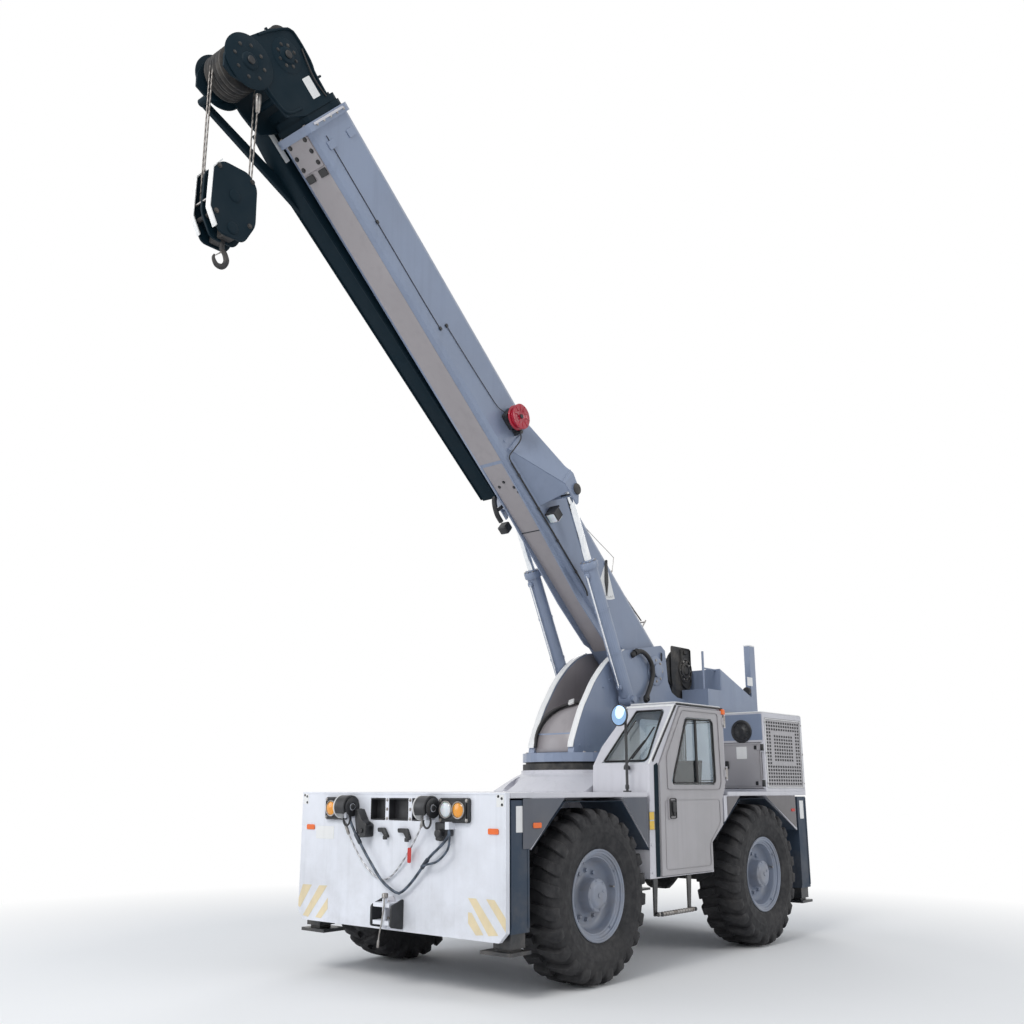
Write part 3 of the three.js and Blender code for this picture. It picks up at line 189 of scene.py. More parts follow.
def prism(outline, low, high, bevel=0.003):
    """Outline carried from low to high along the third axis, its end edges broken by a bevel."""
    outline = np.asarray(outline, float)
    inner = inset(outline, bevel)
    levels = [(inner, low), (outline, low + bevel), (outline, high - bevel), (inner, high)]
    return skin([np.column_stack([o, np.full(len(o), h)]) for o, h in levels])


def block(x0, x1, y0, y1, z0, z1, r=0.006, bevel=0.003):
    """Box with rounded upright edges and bevelled ends."""
    r = min(r, 0.49 * (x1 - x0), 0.49 * (y1 - y0))
    return prism(rounded(x0, x1, y0, y1, r, 2), z0, z1, min(bevel, 0.45 * (z1 - z0), r * 0.9))


def along_x(shape):
    """Shape coordinates (a, b, c) become y, z, x."""
    return placed(shape, (0, 0, 0), (0, 1, 0), (0, 0, 1), (1, 0, 0))


def on_boom(shape, x=0.0, s=0.0, p=0.0):
    """Shape coordinates (a, b, c) become s, p, x of the boom frame, from the given place."""
    return placed(shape, boom_point(x, s, p), ALONG, ACROSS, (1, 0, 0))


def lathe(profile, sides=48, loop=False):
    """Profile of (offset, radius) turned about the first axis; offset runs along it."""
    profile = np.asarray(profile, float)
    t = np.arange(sides) * 2 * math.pi / sides
    rings = np.stack([np.broadcast_to(profile[:, :1], (len(profile), sides)),
                      profile[:, 1:] * np.cos(t), profile[:, 1:] * np.sin(t)], -1)
    return skin(rings, loop)


def turned(profile, centre, axis, sides=48, loop=False):
    """Lathe shape standing at centre with its offset running along axis."""
    axis = np.asarray(axis, float) / np.linalg.norm(axis)
    side = np.cross(axis, (0, 0, 1) if abs(axis[2]) < 0.9 else (0, 1, 0))
    side /= np.linalg.norm(side)
    return placed(lathe(profile, sides, loop), centre, axis, side)


def smooth_path(points, count):
    """Centripetal curve through the points: a cubic in each span, tangents from neighbours, evenly spaced."""
    p = np.asarray(points, float)
    q = np.concatenate([[2 * p[0] - p[1]], p, [2 * p[-1] - p[-2]]])
    t = np.linspace(0, 1, 24, endpoint=False)[:, None]
    spans = []
    for a, b, c, d in zip(q, q[1:], q[2:], q[3:]):
        spans.append(0.5 * (2 * b + (c - a) * t + (2 * a - 5 * b + 4 * c - d) * t ** 2
                            + (3 * b - a - 3 * c + d) * t ** 3))
    fine = np.concatenate(spans + [p[-1:]])
    length = np.concatenate([[0], np.cumsum(np.linalg.norm(np.diff(fine, axis=0), axis=1))])
    even = np.linspace(0, length[-1], count)
    return np.stack([np.interp(even, length, fine[:, k]) for k in range(3)], -1)


def path_frames(path):
    """Two unit vectors square to a path at each point, turned as little as can be from point to point."""
    tangent = np.gradient(path, axis=0)
    tangent /= np.linalg.norm(tangent, axis=1, keepdims=True)
    start = np.cross(tangent[0], (0, 0, 1) if abs(tangent[0][2]) < 0.9 else (1, 0, 0))
    sides = [start / np.linalg.norm(start)]
    for t in tangent[1:]:
        side = sides[-1] - t * np.dot(sides[-1], t)
        sides.append(side / np.linalg.norm(side))
    side = np.array(sides)
    return side, np.cross(tangent, side)


def pipe(path, radius, sides=12, loop=False):
    """Circle of the given radius, one number or one per point, carried along a path."""
    path = np.asarray(path, float)
    side, up = path_frames(path)
    t = np.arange(sides) * 2 * math.pi / sides
    r = np.broadcast_to(np.asarray(radius, float), (len(path),))[:, None, None]
    rings = path[:, None] + r * (side[:, None] * np.cos(t)[:, None] + up[:, None] * np.sin(t)[:, None])
    return skin(rings, loop)


def rod(a, b, radius, sides=16, bevel=0.002):
    """Round bar between two points with bevelled ends."""
    a, b = np.asarray(a, float), np.asarray(b, float)
    n = np.linalg.norm(b - a)
    bevel = min(bevel, radius * 0.4, n * 0.4)
    return turned([(0, radius - bevel), (bevel, radius), (n - bevel, radius), (n, radius - bevel)], a, b - a,
                  sides)


def bolt_heads(centres, axis, radius=0.012, height=0.009):
    """Hexagon heads with a washer, one at each centre, standing along axis."""
    shapes = []
    for c in centres:
        shapes.append(turned([(0, radius * 1.35), (height * 0.25, radius * 1.35)], c, axis, 12))
        shapes.append(turned([(height * 0.2, radius), (height * 0.85, radius), (height, radius * 0.8)], c,
                             axis, 6))
    return merged(shapes)


def ring_of(count, radius, centre, axis, phase=0.0):
    """Points evenly round a circle square to axis."""
    axis = np.asarray(axis, float) / np.linalg.norm(axis)
    side = np.cross(axis, (0, 0, 1) if abs(axis[2]) < 0.9 else (0, 1, 0))
    side /= np.linalg.norm(side)
    up = np.cross(axis, side)
    t = phase + np.arange(count) * 2 * math.pi / count
    return np.asarray(centre) + radius * (np.cos(t)[:, None] * side + np.sin(t)[:, None] * up)


def add_piece(name, shape, body, finish, smooth=32.0, stands_for=()):
    """Puts a shape into the scene as one finished piece that rides a body."""
    points, faces = shape
    mesh = bpy.data.meshes.new(name)
    mesh.from_pydata((points + SHIFT).tolist(), [], faces)
    mesh.validate()
    mesh.shade_smooth()
    mesh.set_sharp_from_angle(angle=math.radians(smooth))
    mesh.materials.append(FINISHES[finish])
    piece = bpy.data.objects.new(name, mesh)
    bpy.context.scene.collection.objects.link(piece)
    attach(piece, body)
    if stands_for:
        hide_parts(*stands_for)
    return piece


# ------------------------------------------------------------------ finishes
FINISHES = {}


class Nodes:
    """Short way to wire one material's nodes."""

    def __init__(self, name):
        self.material = bpy.data.materials.new(name)
        self.material.use_nodes = True
        self.tree = self.material.node_tree
        self.shader = self.tree.nodes["Principled BSDF"]
        self.place = self.add("ShaderNodeTexCoord").outputs["Object"]
        FINISHES[name] = self.material

    def add(self, kind, **settings):
        """New node of a kind with its settings."""
        node = self.tree.nodes.new(kind)
        for key, value in settings.items():
            setattr(node, key, value)
        return node

    def link(self, source, target):
        self.tree.links.new(source, target)

    def set(self, **values):
        """Fixed values of the shader's inputs, spaces written as underscores."""
        for key, value in values.items():
            self.shader.inputs[key.replace("_", " ")].default_value = value
        return self

    def noise(self, scale, detail=4.0, stretch=None, rough=0.55, source=None):
        """Fractal noise of object coordinates, stretched along the axes."""
        node = self.add("ShaderNodeTexNoise")
        node.inputs["Scale"].default_value = scale
        node.inputs["Detail"].default_value = detail
        node.inputs["Roughness"].default_value = rough
        place = source or self.place
        if stretch:
            mapping = self.add("ShaderNodeMapping")
            mapping.inputs["Scale"].default_value = stretch
            self.link(place, mapping.inputs["Vector"])
            place = mapping.outputs["Vector"]
        self.link(place, node.inputs["Vector"])
        return node.outputs["Fac"]

    def spread(self, value, low, high, to_low=0.0, to_high=1.0):
        """Maps low..high onto to_low..to_high and holds it there."""
        node = self.add("ShaderNodeMapRange")
        for key, number in zip(("From Min", "From Max", "To Min", "To Max"), (low, high, to_low, to_high)):
            node.inputs[key].default_value = number
        self.link(value, node.inputs["Value"])
        return node.outputs["Result"]

    def times(self, a, b):
        """Product of two sockets, or of a socket and a number."""
        node = self.add("ShaderNodeMath", operation="MULTIPLY")
        for socket, value in zip(node.inputs, (a, b)):
            if isinstance(value, float):
                socket.default_value = value
            else:
                self.link(value, socket)
        return node.outputs[0]

    def blend(self, factor, a, b):
        """Colour a where the factor is 0 and b where it is 1; either may be a colour or a socket."""
        node = self.add("ShaderNodeMix", data_type="RGBA")
        self.link(factor, node.inputs[0])
        sockets = [s for s in node.inputs if s.type == "RGBA"]
        for socket, value in zip(sockets, (a, b)):
            if isinstance(value, tuple):
                socket.default_value = (*value, 1.0)
            else:
                self.link(value, socket)
        return [s for s in node.outputs if s.type == "RGBA"][0]

    def height(self):
        """Height above the ground at each point."""
        split = self.add("ShaderNodeSeparateXYZ")
        self.link(self.place, split.inputs[0])
        return split.outputs["Z"]

    def bump(self, value, strength, distance=0.002):
        """Surface relief from a value."""
        node = self.add("ShaderNodeBump")
        node.inputs["Strength"].default_value = strength
        node.inputs["Distance"].default_value = distance
        self.link(value, node.inputs["Height"])
        self.link(node.outputs["Normal"], self.shader.inputs["Normal"])


def shade(colour, k):
    """A colour times k."""
    return tuple(c * k for c in colour)


def paint_finish(name, colour, rough=0.36, dust=0.35, coat=0.25, dust_top=1.5, shine=0.5):
    """Sprayed paint: broad tone drift, rain streaks, road dust that thins with height, fine orange peel."""
    n = Nodes(name)
    drift = n.spread(n.noise(0.9, 5), 0.35, 0.7)
    base = n.blend(drift, shade(colour, 1.04), shade(colour, 0.88))
    streak = n.times(n.spread(n.noise(1.0, 6, (14, 14, 0.7)), 0.52, 0.78), 0.35)
    base = n.blend(streak, base, shade(colour, 0.72))
    low = n.spread(n.height(), 0.3, dust_top, 1.0, 0.12)
    dirt = n.times(n.times(n.spread(n.noise(3.2, 9, rough=0.65), 0.42, 0.72), low), dust)
    base = n.blend(dirt, base, (0.23, 0.205, 0.18))
    scuff = n.times(n.spread(n.noise(38.0, 3, (1, 1, 2.2)), 0.70, 0.76), 0.35 * dust)
    base = n.blend(scuff, base, shade(colour, 0.45))
    n.link(base, n.shader.inputs["Base Color"])
    n.link(n.spread(n.noise(5.0, 6), 0.3, 0.75, rough - 0.06, rough + 0.16), n.shader.inputs["Roughness"])
    n.set(Coat_Weight=coat, Coat_Roughness=0.12, Specular_IOR_Level=shine)
    n.bump(n.noise(240.0, 2), 0.06, 0.0006)


def make_finishes(look):
    """Every material of the crane, kept by name in FINISHES."""
    gray, navy = tuple(look.body_paint), tuple(look.boom_nose_paint)
    paint_finish("light_gray_paint", gray)
    # painted light: the front gray is the body gray brightened for the lit front plate and chassis
    paint_finish("lit_front_gray_paint", tuple(look.lit_front_paint), dust=0.28)
    paint_finish("dark_blue_green_paint", navy, rough=0.55, dust=0.12, coat=0.0, dust_top=0.6, shine=0.12)
    # painted shade: the boom blue is the light body gray as it looks in shade, for boom, turntable,
    # counterweight and cylinders
    paint_finish("shaded_boom_blue_paint", tuple(look.shaded_boom_blue_paint), dust=0.25)
    # painted shade: warm gray of shaded undersides and inner faces
    paint_finish("warm_shade_gray_paint", (0.33, 0.305, 0.315), dust=0.2)
    # painted shade: dark slate for the shaded outrigger legs and arch liners
    paint_finish("shade_slate_paint", (0.045, 0.066, 0.100), rough=0.5, dust=0.4, coat=0.0, shine=0.25)
    # painted shade: darker grays for the arch gussets, which lie in shade
    paint_finish("gusset_paint", (0.115, 0.125, 0.150), rough=0.45, dust=0.5, coat=0.1, shine=0.3)
    paint_finish("warm_gusset_paint", (0.185, 0.175, 0.180), rough=0.45, dust=0.5, coat=0.1, shine=0.3)
    paint_finish("door_gray_paint", (0.42, 0.405, 0.42), rough=0.34, dust=0.3)
    paint_finish("wheel_paint", tuple(look.wheel_paint), rough=0.42, dust=0.75, dust_top=2.2)
    # white paint, also used for painted highlights on the horn flanges and cheek front edges
    paint_finish("white_paint_and_highlight", (0.86, 0.86, 0.85), rough=0.4, dust=0.12)
    paint_finish("cream_stripe", (0.86, 0.72, 0.46), rough=0.45, dust=0.3)
    paint_finish("red_gloss", (0.42, 0.012, 0.035), rough=0.25, dust=0.1)
    paint_finish("red_tag", (0.55, 0.02, 0.012), rough=0.5, dust=0.1)
    paint_finish("orange_reflector", (0.90, 0.16, 0.015), rough=0.3, dust=0.05)
    paint_finish("yellow_plate", (0.80, 0.52, 0.06), rough=0.4, dust=0.1)
    paint_finish("black_paint", (0.018, 0.020, 0.024), rough=0.45, dust=0.45)

    n = Nodes("tyre_rubber")
    worn = n.spread(n.noise(7.0, 8, rough=0.7), 0.4, 0.75)
    base = n.blend(worn, (0.008, 0.0085, 0.011), (0.032, 0.031, 0.033))
    n.link(n.blend(n.times(n.spread(n.noise(2.0, 6), 0.45, 0.75), 0.35), base, (0.075, 0.07, 0.067)),
           n.shader.inputs["Base Color"])
    n.link(n.spread(n.noise(20.0, 4), 0.3, 0.7, 0.62, 0.9), n.shader.inputs["Roughness"])
    n.bump(n.noise(160.0, 6), 0.35, 0.0015)

    n = Nodes("dark_casting")
    n.link(n.blend(n.spread(n.noise(6.0, 8, rough=0.7), 0.4, 0.7), (0.022, 0.024, 0.028),
                   (0.085, 0.078, 0.070)),
           n.shader.inputs["Base Color"])
    n.set(Metallic=0.25)
    n.link(n.spread(n.noise(9.0, 4), 0.3, 0.7, 0.5, 0.8), n.shader.inputs["Roughness"])
    n.bump(n.noise(90.0, 5), 0.4, 0.001)

    n = Nodes("satin_black")
    n.link(n.blend(n.spread(n.noise(8.0, 5), 0.4, 0.7), (0.012, 0.013, 0.015), (0.035, 0.036, 0.04)),
           n.shader.inputs["Base Color"])
    n.link(n.spread(n.noise(11.0, 5), 0.3, 0.7, 0.32, 0.55), n.shader.inputs["Roughness"])
    n.bump(n.noise(300.0, 2), 0.08, 0.0005)

    n = Nodes("gasket_rubber")
    n.link(n.blend(n.noise(15.0, 4), (0.010, 0.010, 0.011), (0.03, 0.03, 0.032)),
           n.shader.inputs["Base Color"])
    n.set(Roughness=0.6)
    n.bump(n.noise(200.0, 3), 0.15, 0.0006)

    n = Nodes("bright_chrome")
    n.link(n.blend(n.spread(n.noise(1.0, 5, (60, 60, 2)), 0.4, 0.7), (0.86, 0.88, 0.90), (0.70, 0.73, 0.77)),
           n.shader.inputs["Base Color"])
    n.set(Metallic=1.0)
    n.link(n.spread(n.noise(30.0, 3), 0.3, 0.7, 0.07, 0.16), n.shader.inputs["Roughness"])

    n = Nodes("worn_steel")
    n.link(n.blend(n.spread(n.noise(12.0, 7, rough=0.7), 0.4, 0.7), (0.42, 0.41, 0.40), (0.20, 0.17, 0.15)),
           n.shader.inputs["Base Color"])
    n.set(Metallic=0.85)
    n.link(n.spread(n.noise(25.0, 4), 0.3, 0.7, 0.3, 0.55), n.shader.inputs["Roughness"])
    n.bump(n.noise(120.0, 4), 0.15, 0.0006)

    n = Nodes("bright_rope")
    rope_finish(n, (0.80, 0.80, 0.82), (0.30, 0.30, 0.31), 0.6)
    n = Nodes("greased_rope")
    rope_finish(n, (0.33, 0.31, 0.29), (0.09, 0.08, 0.075), 0.5)
    n = Nodes("blue_gray_rope")
    rope_finish(n, (0.10, 0.13, 0.18), (0.03, 0.04, 0.055), 0.2)

    n = Nodes("cab_glass")
    n.link(n.blend(n.times(n.spread(n.noise(3.0, 5), 0.45, 0.8), 0.5), (0.86, 0.94, 0.96),
                   (0.74, 0.82, 0.84)),
           n.shader.inputs["Base Color"])
    n.set(Roughness=0.02, IOR=1.45, Transmission_Weight=1.0)

    n = Nodes("mirror_silver")
    n.link(n.blend(n.noise(4.0, 3), (0.36, 0.55, 0.82), (0.30, 0.48, 0.76)), n.shader.inputs["Base Color"])
    n.set(Metallic=1.0, Roughness=0.04)

    for name, colour in (("amber_lens", (0.95, 0.36, 0.015)), ("white_lens", (0.85, 0.87, 0.90))):
        n = Nodes(name)
        n.link(n.blend(n.noise(18.0, 3), colour, shade(colour, 0.8)), n.shader.inputs["Base Color"])
        n.set(Roughness=0.14, Coat_Weight=0.6, Coat_Roughness=0.05, Subsurface_Weight=0.15)
        n.bump(n.noise(1.0, 1, (220, 220, 12)), 0.5, 0.001)

    n = Nodes("seat_vinyl")
    grain = n.add("ShaderNodeTexVoronoi")
    grain.inputs["Scale"].default_value = 260.0
    n.link(n.place, grain.inputs["Vector"])
    n.link(n.blend(n.spread(n.noise(5.0, 5), 0.4, 0.7), (0.014, 0.014, 0.016), (0.034, 0.034, 0.037)),
           n.shader.inputs["Base Color"])
    n.set(Roughness=0.55, Sheen_Weight=0.1)
    n.bump(grain.outputs["Distance"], 0.35, 0.0008)

    # floor: matt white near the object, glowing white further out so that no horizon shows
    n = Nodes("studio_floor")
    n.link(n.blend(n.noise(0.6, 3), (0.93, 0.93, 0.93), (0.91, 0.91, 0.91)), n.shader.inputs["Base Color"])
    n.set(Roughness=0.9)
    glow = n.add("ShaderNodeEmission")
    glow.inputs["Strength"].default_value = 1.0
    path, reach = n.add("ShaderNodeLightPath"), n.add("ShaderNodeVectorMath", operation="LENGTH")
    n.link(n.place, reach.inputs[0])
    seen = n.add("ShaderNodeMath", operation="ADD")
    also = n.add("ShaderNodeMath", operation="ADD", use_clamp=True)
    n.link(path.outputs["Is Camera Ray"], seen.inputs[0])
    n.link(path.outputs["Is Glossy Ray"], seen.inputs[1])
    n.link(seen.outputs[0], also.inputs[0])
    n.link(path.outputs["Is Transmission Ray"], also.inputs[1])
    far = n.times(n.spread(reach.outputs["Value"], 4.2, 8.5), also.outputs[0])
    mix = n.add("ShaderNodeMixShader")
    n.link(far, mix.inputs[0])
    n.link(n.shader.outputs[0], mix.inputs[1])
    n.link(glow.outputs[0], mix.inputs[2])
    n.link(mix.outputs[0], n.tree.nodes["Material Output"].inputs["Surface"])


def rope_finish(n, crest, groove, metal):
    """Laid wire rope: the strands run as slanted waves of the piece's own length and angle coordinates."""
    uv = n.add("ShaderNodeUVMap", uv_map="lay")
    wave = n.add("ShaderNodeTexWave", wave_type="BANDS", bands_direction="DIAGONAL")
    wave.inputs["Scale"].default_value = 1.0
    wave.inputs["Distortion"].default_value = 0.0
    n.link(uv.outputs["UV"], wave.inputs["Vector"])
    fleck = n.times(n.spread(n.noise(70.0, 4), 0.4, 0.7), 0.4)
    base = n.blend(wave.outputs["Fac"], groove, crest)
    n.link(n.blend(fleck, base, groove), n.shader.inputs["Base Color"])
    n.set(Metallic=metal, Roughness=0.42)
    n.bump(wave.outputs["Fac"], 0.8, 0.002)


# ------------------------------------------------------------------ settings
class CraneLook(bpy.types.PropertyGroup):
    """Colours of the main paints."""

    body_paint: FloatVectorProperty(name="Body Paint", description="Light gray of the cab and hood",
                                    subtype="COLOR", size=3, min=0, max=1, default=(0.64, 0.635, 0.68))
    # painted light: the front paint is a brightened copy of the body gray for the lit front
    lit_front_paint: FloatVectorProperty(name="Front Paint", description="Gray of the front plate and chassis",
                                     subtype="COLOR", size=3, min=0, max=1, default=(0.82, 0.84, 0.90))
    boom_nose_paint: FloatVectorProperty(name="Nose Paint",
                                         description="Dark blue green of nose, jib and block",
                                         subtype="COLOR", size=3, min=0, max=1, default=(0.004, 0.015, 0.024))
    # painted shade: the boom paint is the body gray as it looks in shade
    shaded_boom_blue_paint: FloatVectorProperty(name="Boom Paint",
                                    description="Blue gray of the boom, its cylinders and turntable",
                                    subtype="COLOR", size=3, min=0, max=1, default=(0.235, 0.285, 0.395))
    wheel_paint: FloatVectorProperty(name="Wheel Paint", description="Pale blue gray of the rims",
                                     subtype="COLOR", size=3, min=0, max=1, default=(0.25, 0.285, 0.365))


class CraneSizes(bpy.types.PropertyGroup):
    """Sizes of the finished fittings."""

    lug_count: IntProperty(name="Tread Lugs", description="Lugs on each side of a tyre", default=24, min=12,
                           max=40)
    lug_height: FloatProperty(name="Lug Height", description="Height of the tread lugs over the carcass",
                              subtype="DISTANCE", unit="LENGTH", default=0.036, min=0.01, max=0.06)
    wheel_nuts: IntProperty(name="Wheel Nuts", description="Nuts round each wheel disc", default=12, min=6,
                            max=20)
    light_sling_diameter: FloatProperty(name="Light Sling", description="Diameter of the bright wire sling",
                                        subtype="DISTANCE", unit="LENGTH", default=0.014, min=0.006, max=0.03)
    dark_sling_diameter: FloatProperty(name="Dark Sling", description="Diameter of the heavy dark sling",
                                       subtype="DISTANCE", unit="LENGTH", default=0.022, min=0.01, max=0.04)
    hoist_rope_diameter: FloatProperty(name="Hoist Rope", description="Diameter of the hoist rope",
                                       subtype="DISTANCE", unit="LENGTH", default=0.013, min=0.008, max=0.03)
    guard_hole: FloatProperty(name="Guard Hole", description="Side of each square hole in the radiator guard",
                              subtype="DISTANCE", unit="LENGTH", default=0.030, min=0.01, max=0.05)


# ------------------------------------------------------------------ stage
class CRANE_OT_stage(bpy.types.Operator):
    """Camera, floor, lamps and world"""

    bl_idname = "crane.stage"
    bl_label = "Stage"

    def execute(self, context):
        scene = context.scene
        lens = bpy.data.cameras.new("camera")
        lens.lens, lens.sensor_width = 36.47, 36.0
        lens.shift_x, lens.shift_y = 0.0071, 0.0243
        lens.clip_end = 200.0
        camera = bpy.data.objects.new("camera", lens)
        camera.location = (6.276, -7.545, 1.498)
        camera.rotation_euler = (math.radians(103.63), 0.0, math.radians(40.49))
        scene.collection.objects.link(camera)
        scene.camera = camera

        t, r = np.meshgrid(np.linspace(0, 2 * math.pi, 65)[:-1], np.array([0.0001, 6, 14, 30, 60.0]))
        disc = np.stack([r * np.cos(t), r * np.sin(t), 0 * r - 0.002], -1)
        mesh = bpy.data.meshes.new("floor")
        mesh.from_pydata(disc.reshape(-1, 3).tolist(), [], grid_faces(5, 64))
        mesh.materials.append(FINISHES["studio_floor"])
        floor = bpy.data.objects.new("floor", mesh)
        scene.collection.objects.link(floor)

        for name, place, aim, size, power, colour in (
                ("key", (2.5, -12.5, 12.5), (0, 0, 2.6), 7.0, 1050.0, (1.0, 0.985, 0.96)),
                ("side", (13.0, 4.0, 8.0), (0, 0.5, 2.5), 7.0, 330.0, (1.0, 0.98, 0.95)),
                ("fill", (-10.0, -11.0, 6.0), (0, -1.0, 2.6), 9.0, 380.0, (0.92, 0.95, 1.0)),
                ("rim", (-7.0, 12.0, 10.0), (0, 0, 3.0), 7.0, 330.0, (1.0, 0.98, 0.96))):
            lamp = bpy.data.lights.new(name, "AREA")
            lamp.shape, lamp.size, lamp.energy, lamp.color = "DISK", size, power, colour
            holder = bpy.data.objects.new(name, lamp)
            holder.location = place
            away = np.array(place) - np.array(aim)
            holder.rotation_euler = (math.acos(away[2] / np.linalg.norm(away)), 0,
                                     math.atan2(away[1], away[0]) + math.pi / 2)
            scene.collection.objects.link(holder)

        world = bpy.data.worlds.new("studio")
        scene.world = world
        world.use_nodes = True
        tree = world.node_tree
        tree.nodes.clear()
        path = tree.nodes.new("ShaderNodeLightPath")
        seen = tree.nodes.new("ShaderNodeMath")
        seen.operation, seen.use_clamp = "ADD", True
        light, white = tree.nodes.new("ShaderNodeBackground"), tree.nodes.new("ShaderNodeBackground")
        light.inputs["Color"].default_value = (0.86, 0.92, 1.0, 1)
        light.inputs["Strength"].default_value = 0.5
        white.inputs["Color"].default_value = (1, 1, 1, 1)
        mix, out = tree.nodes.new("ShaderNodeMixShader"), tree.nodes.new("ShaderNodeOutputWorld")
        tree.links.new(path.outputs["Is Camera Ray"], seen.inputs[0])
        tree.links.new(path.outputs["Is Transmission Ray"], seen.inputs[1])
        also = tree.nodes.new("ShaderNodeMath")
        also.operation, also.use_clamp = "ADD", True
        tree.links.new(seen.outputs[0], also.inputs[0])
        tree.links.new(path.outputs["Is Glossy Ray"], also.inputs[1])
        tree.links.new(also.outputs[0], mix.inputs[0])
        tree.links.new(light.outputs[0], mix.inputs[1])
        tree.links.new(white.outputs[0], mix.inputs[2])
        tree.links.new(mix.outputs[0], out.inputs[0])
        scene.view_settings.view_transform = "Standard"
        return {"FINISHED"}


# Finish of each imported node. The front gray is painted light; the boom blue gray and the slate of the
# outrigger legs are painted shade.
NODE_FINISH = {
    "chassis_frame": "lit_front_gray_paint", "front_plate": "lit_front_gray_paint", "deck": "light_gray_paint",
    "side_tanks": "light_gray_paint", "cab_shell": "light_gray_paint", "windscreen": "cab_glass",
    "cab_rear_glass": "cab_glass", "cab_inner_glass": "cab_glass", "door_glass": "cab_glass",
    "cab_door": "door_gray_paint", "operator_station": "satin_black", "seat_cushion": "seat_vinyl",
    "cab_step": "black_paint", "mirror": "black_paint", "engine_hood": "light_gray_paint",
    "radiator_guard": "light_gray_paint", "hood_access_door": "door_gray_paint",
    "engine_block": "dark_casting",
    "slew_ring": "dark_casting", "light_sling": "bright_rope", "dark_sling": "blue_gray_rope",
    "turntable": "shaded_boom_blue_paint", "counterweight": "shaded_boom_blue_paint", "winch": "dark_casting",
    "boom_base": "shaded_boom_blue_paint", "boom_middle": "dark_blue_green_paint", "boom_tip": "dark_blue_green_paint",
    "cable_reel": "red_gloss", "stowed_jib": "dark_blue_green_paint", "hoist_ropes": "greased_rope",
    "hook_block": "dark_blue_green_paint", "hook": "dark_casting",
}
for end in ("front", "rear"):
    NODE_FINISH[f"{end}_axle"] = "dark_casting"
    for side in ("left", "right"):
        NODE_FINISH.update({f"{end}_{side}_tyre": "tyre_rubber", f"{end}_{side}_rim": "wheel_paint",
                            f"{end}_{side}_knuckle": "dark_casting", f"{end}_{side}_outrigger": "shade_slate_paint",
                            f"{end}_{side}_jack": "black_paint"})
for side in ("left", "right"):
    NODE_FINISH.update({f"lift_barrel_{side}": "shaded_boom_blue_paint", f"lift_rod_{side}": "bright_chrome"})


class CRANE_OT_finishes(bpy.types.Operator):
    """Paints, metals, rubber and glass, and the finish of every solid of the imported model"""

    bl_idname = "crane.finishes"
    bl_label = "Finishes"

    def execute(self, context):
        make_finishes(context.scene.crane_look)
        for name, node in frame["nodes"].items():
            if not node.material_slots:
                node.data.materials.append(None)
            for material_slot in node.material_slots:
                material_slot.material = FINISHES[NODE_FINISH[name]]
        return {"FINISHED"}


# ------------------------------------------------------------------ slings on the front plate
def tube_mesh(name, path, radius, finish, sides=12, loop=False):
    """Tube along a path with a 'lay' map that runs three strand slants to each turn, for a rope's strands."""
    points, faces = pipe(path, radius, sides, loop)
    mesh = bpy.data.meshes.new(name)
    mesh.from_pydata((points + SHIFT).tolist(), [], faces)
    mesh.shade_smooth()
    layer = mesh.uv_layers.new(name="lay")
    index = np.zeros(len(mesh.loops), int)
    mesh.loops.foreach_get("vertex_index", index)
    step = np.linalg.norm(np.diff(path, axis=0), axis=1)
    along = np.concatenate([[0], np.cumsum(step)]) / (2 * math.pi * radius)
    uv = np.stack([along[index // sides] * 0.42, (index % sides) / sides * 0.32], -1)
    layer.data.foreach_set("uv", uv.ravel().astype(np.float32))
    mesh.materials.append(FINISHES[finish])
    piece = bpy.data.objects.new(name, mesh)
    bpy.context.scene.collection.objects.link(piece)
    return piece


def rope_piece(name, path, radius, body, finish, stands_for=(), sides=12):
    """A laid rope along a path as one finished piece that rides a body."""
    piece = tube_mesh(name, path, radius, finish, sides)
    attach(piece, body)
    if stands_for:
        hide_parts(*stands_for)
    return piece


HORN_X, HORN_Z, HORN_REACH, HORN_R = (-0.500, 0.430), 1.350, 0.075, 0.028
SLING_LUG_X = 0.640


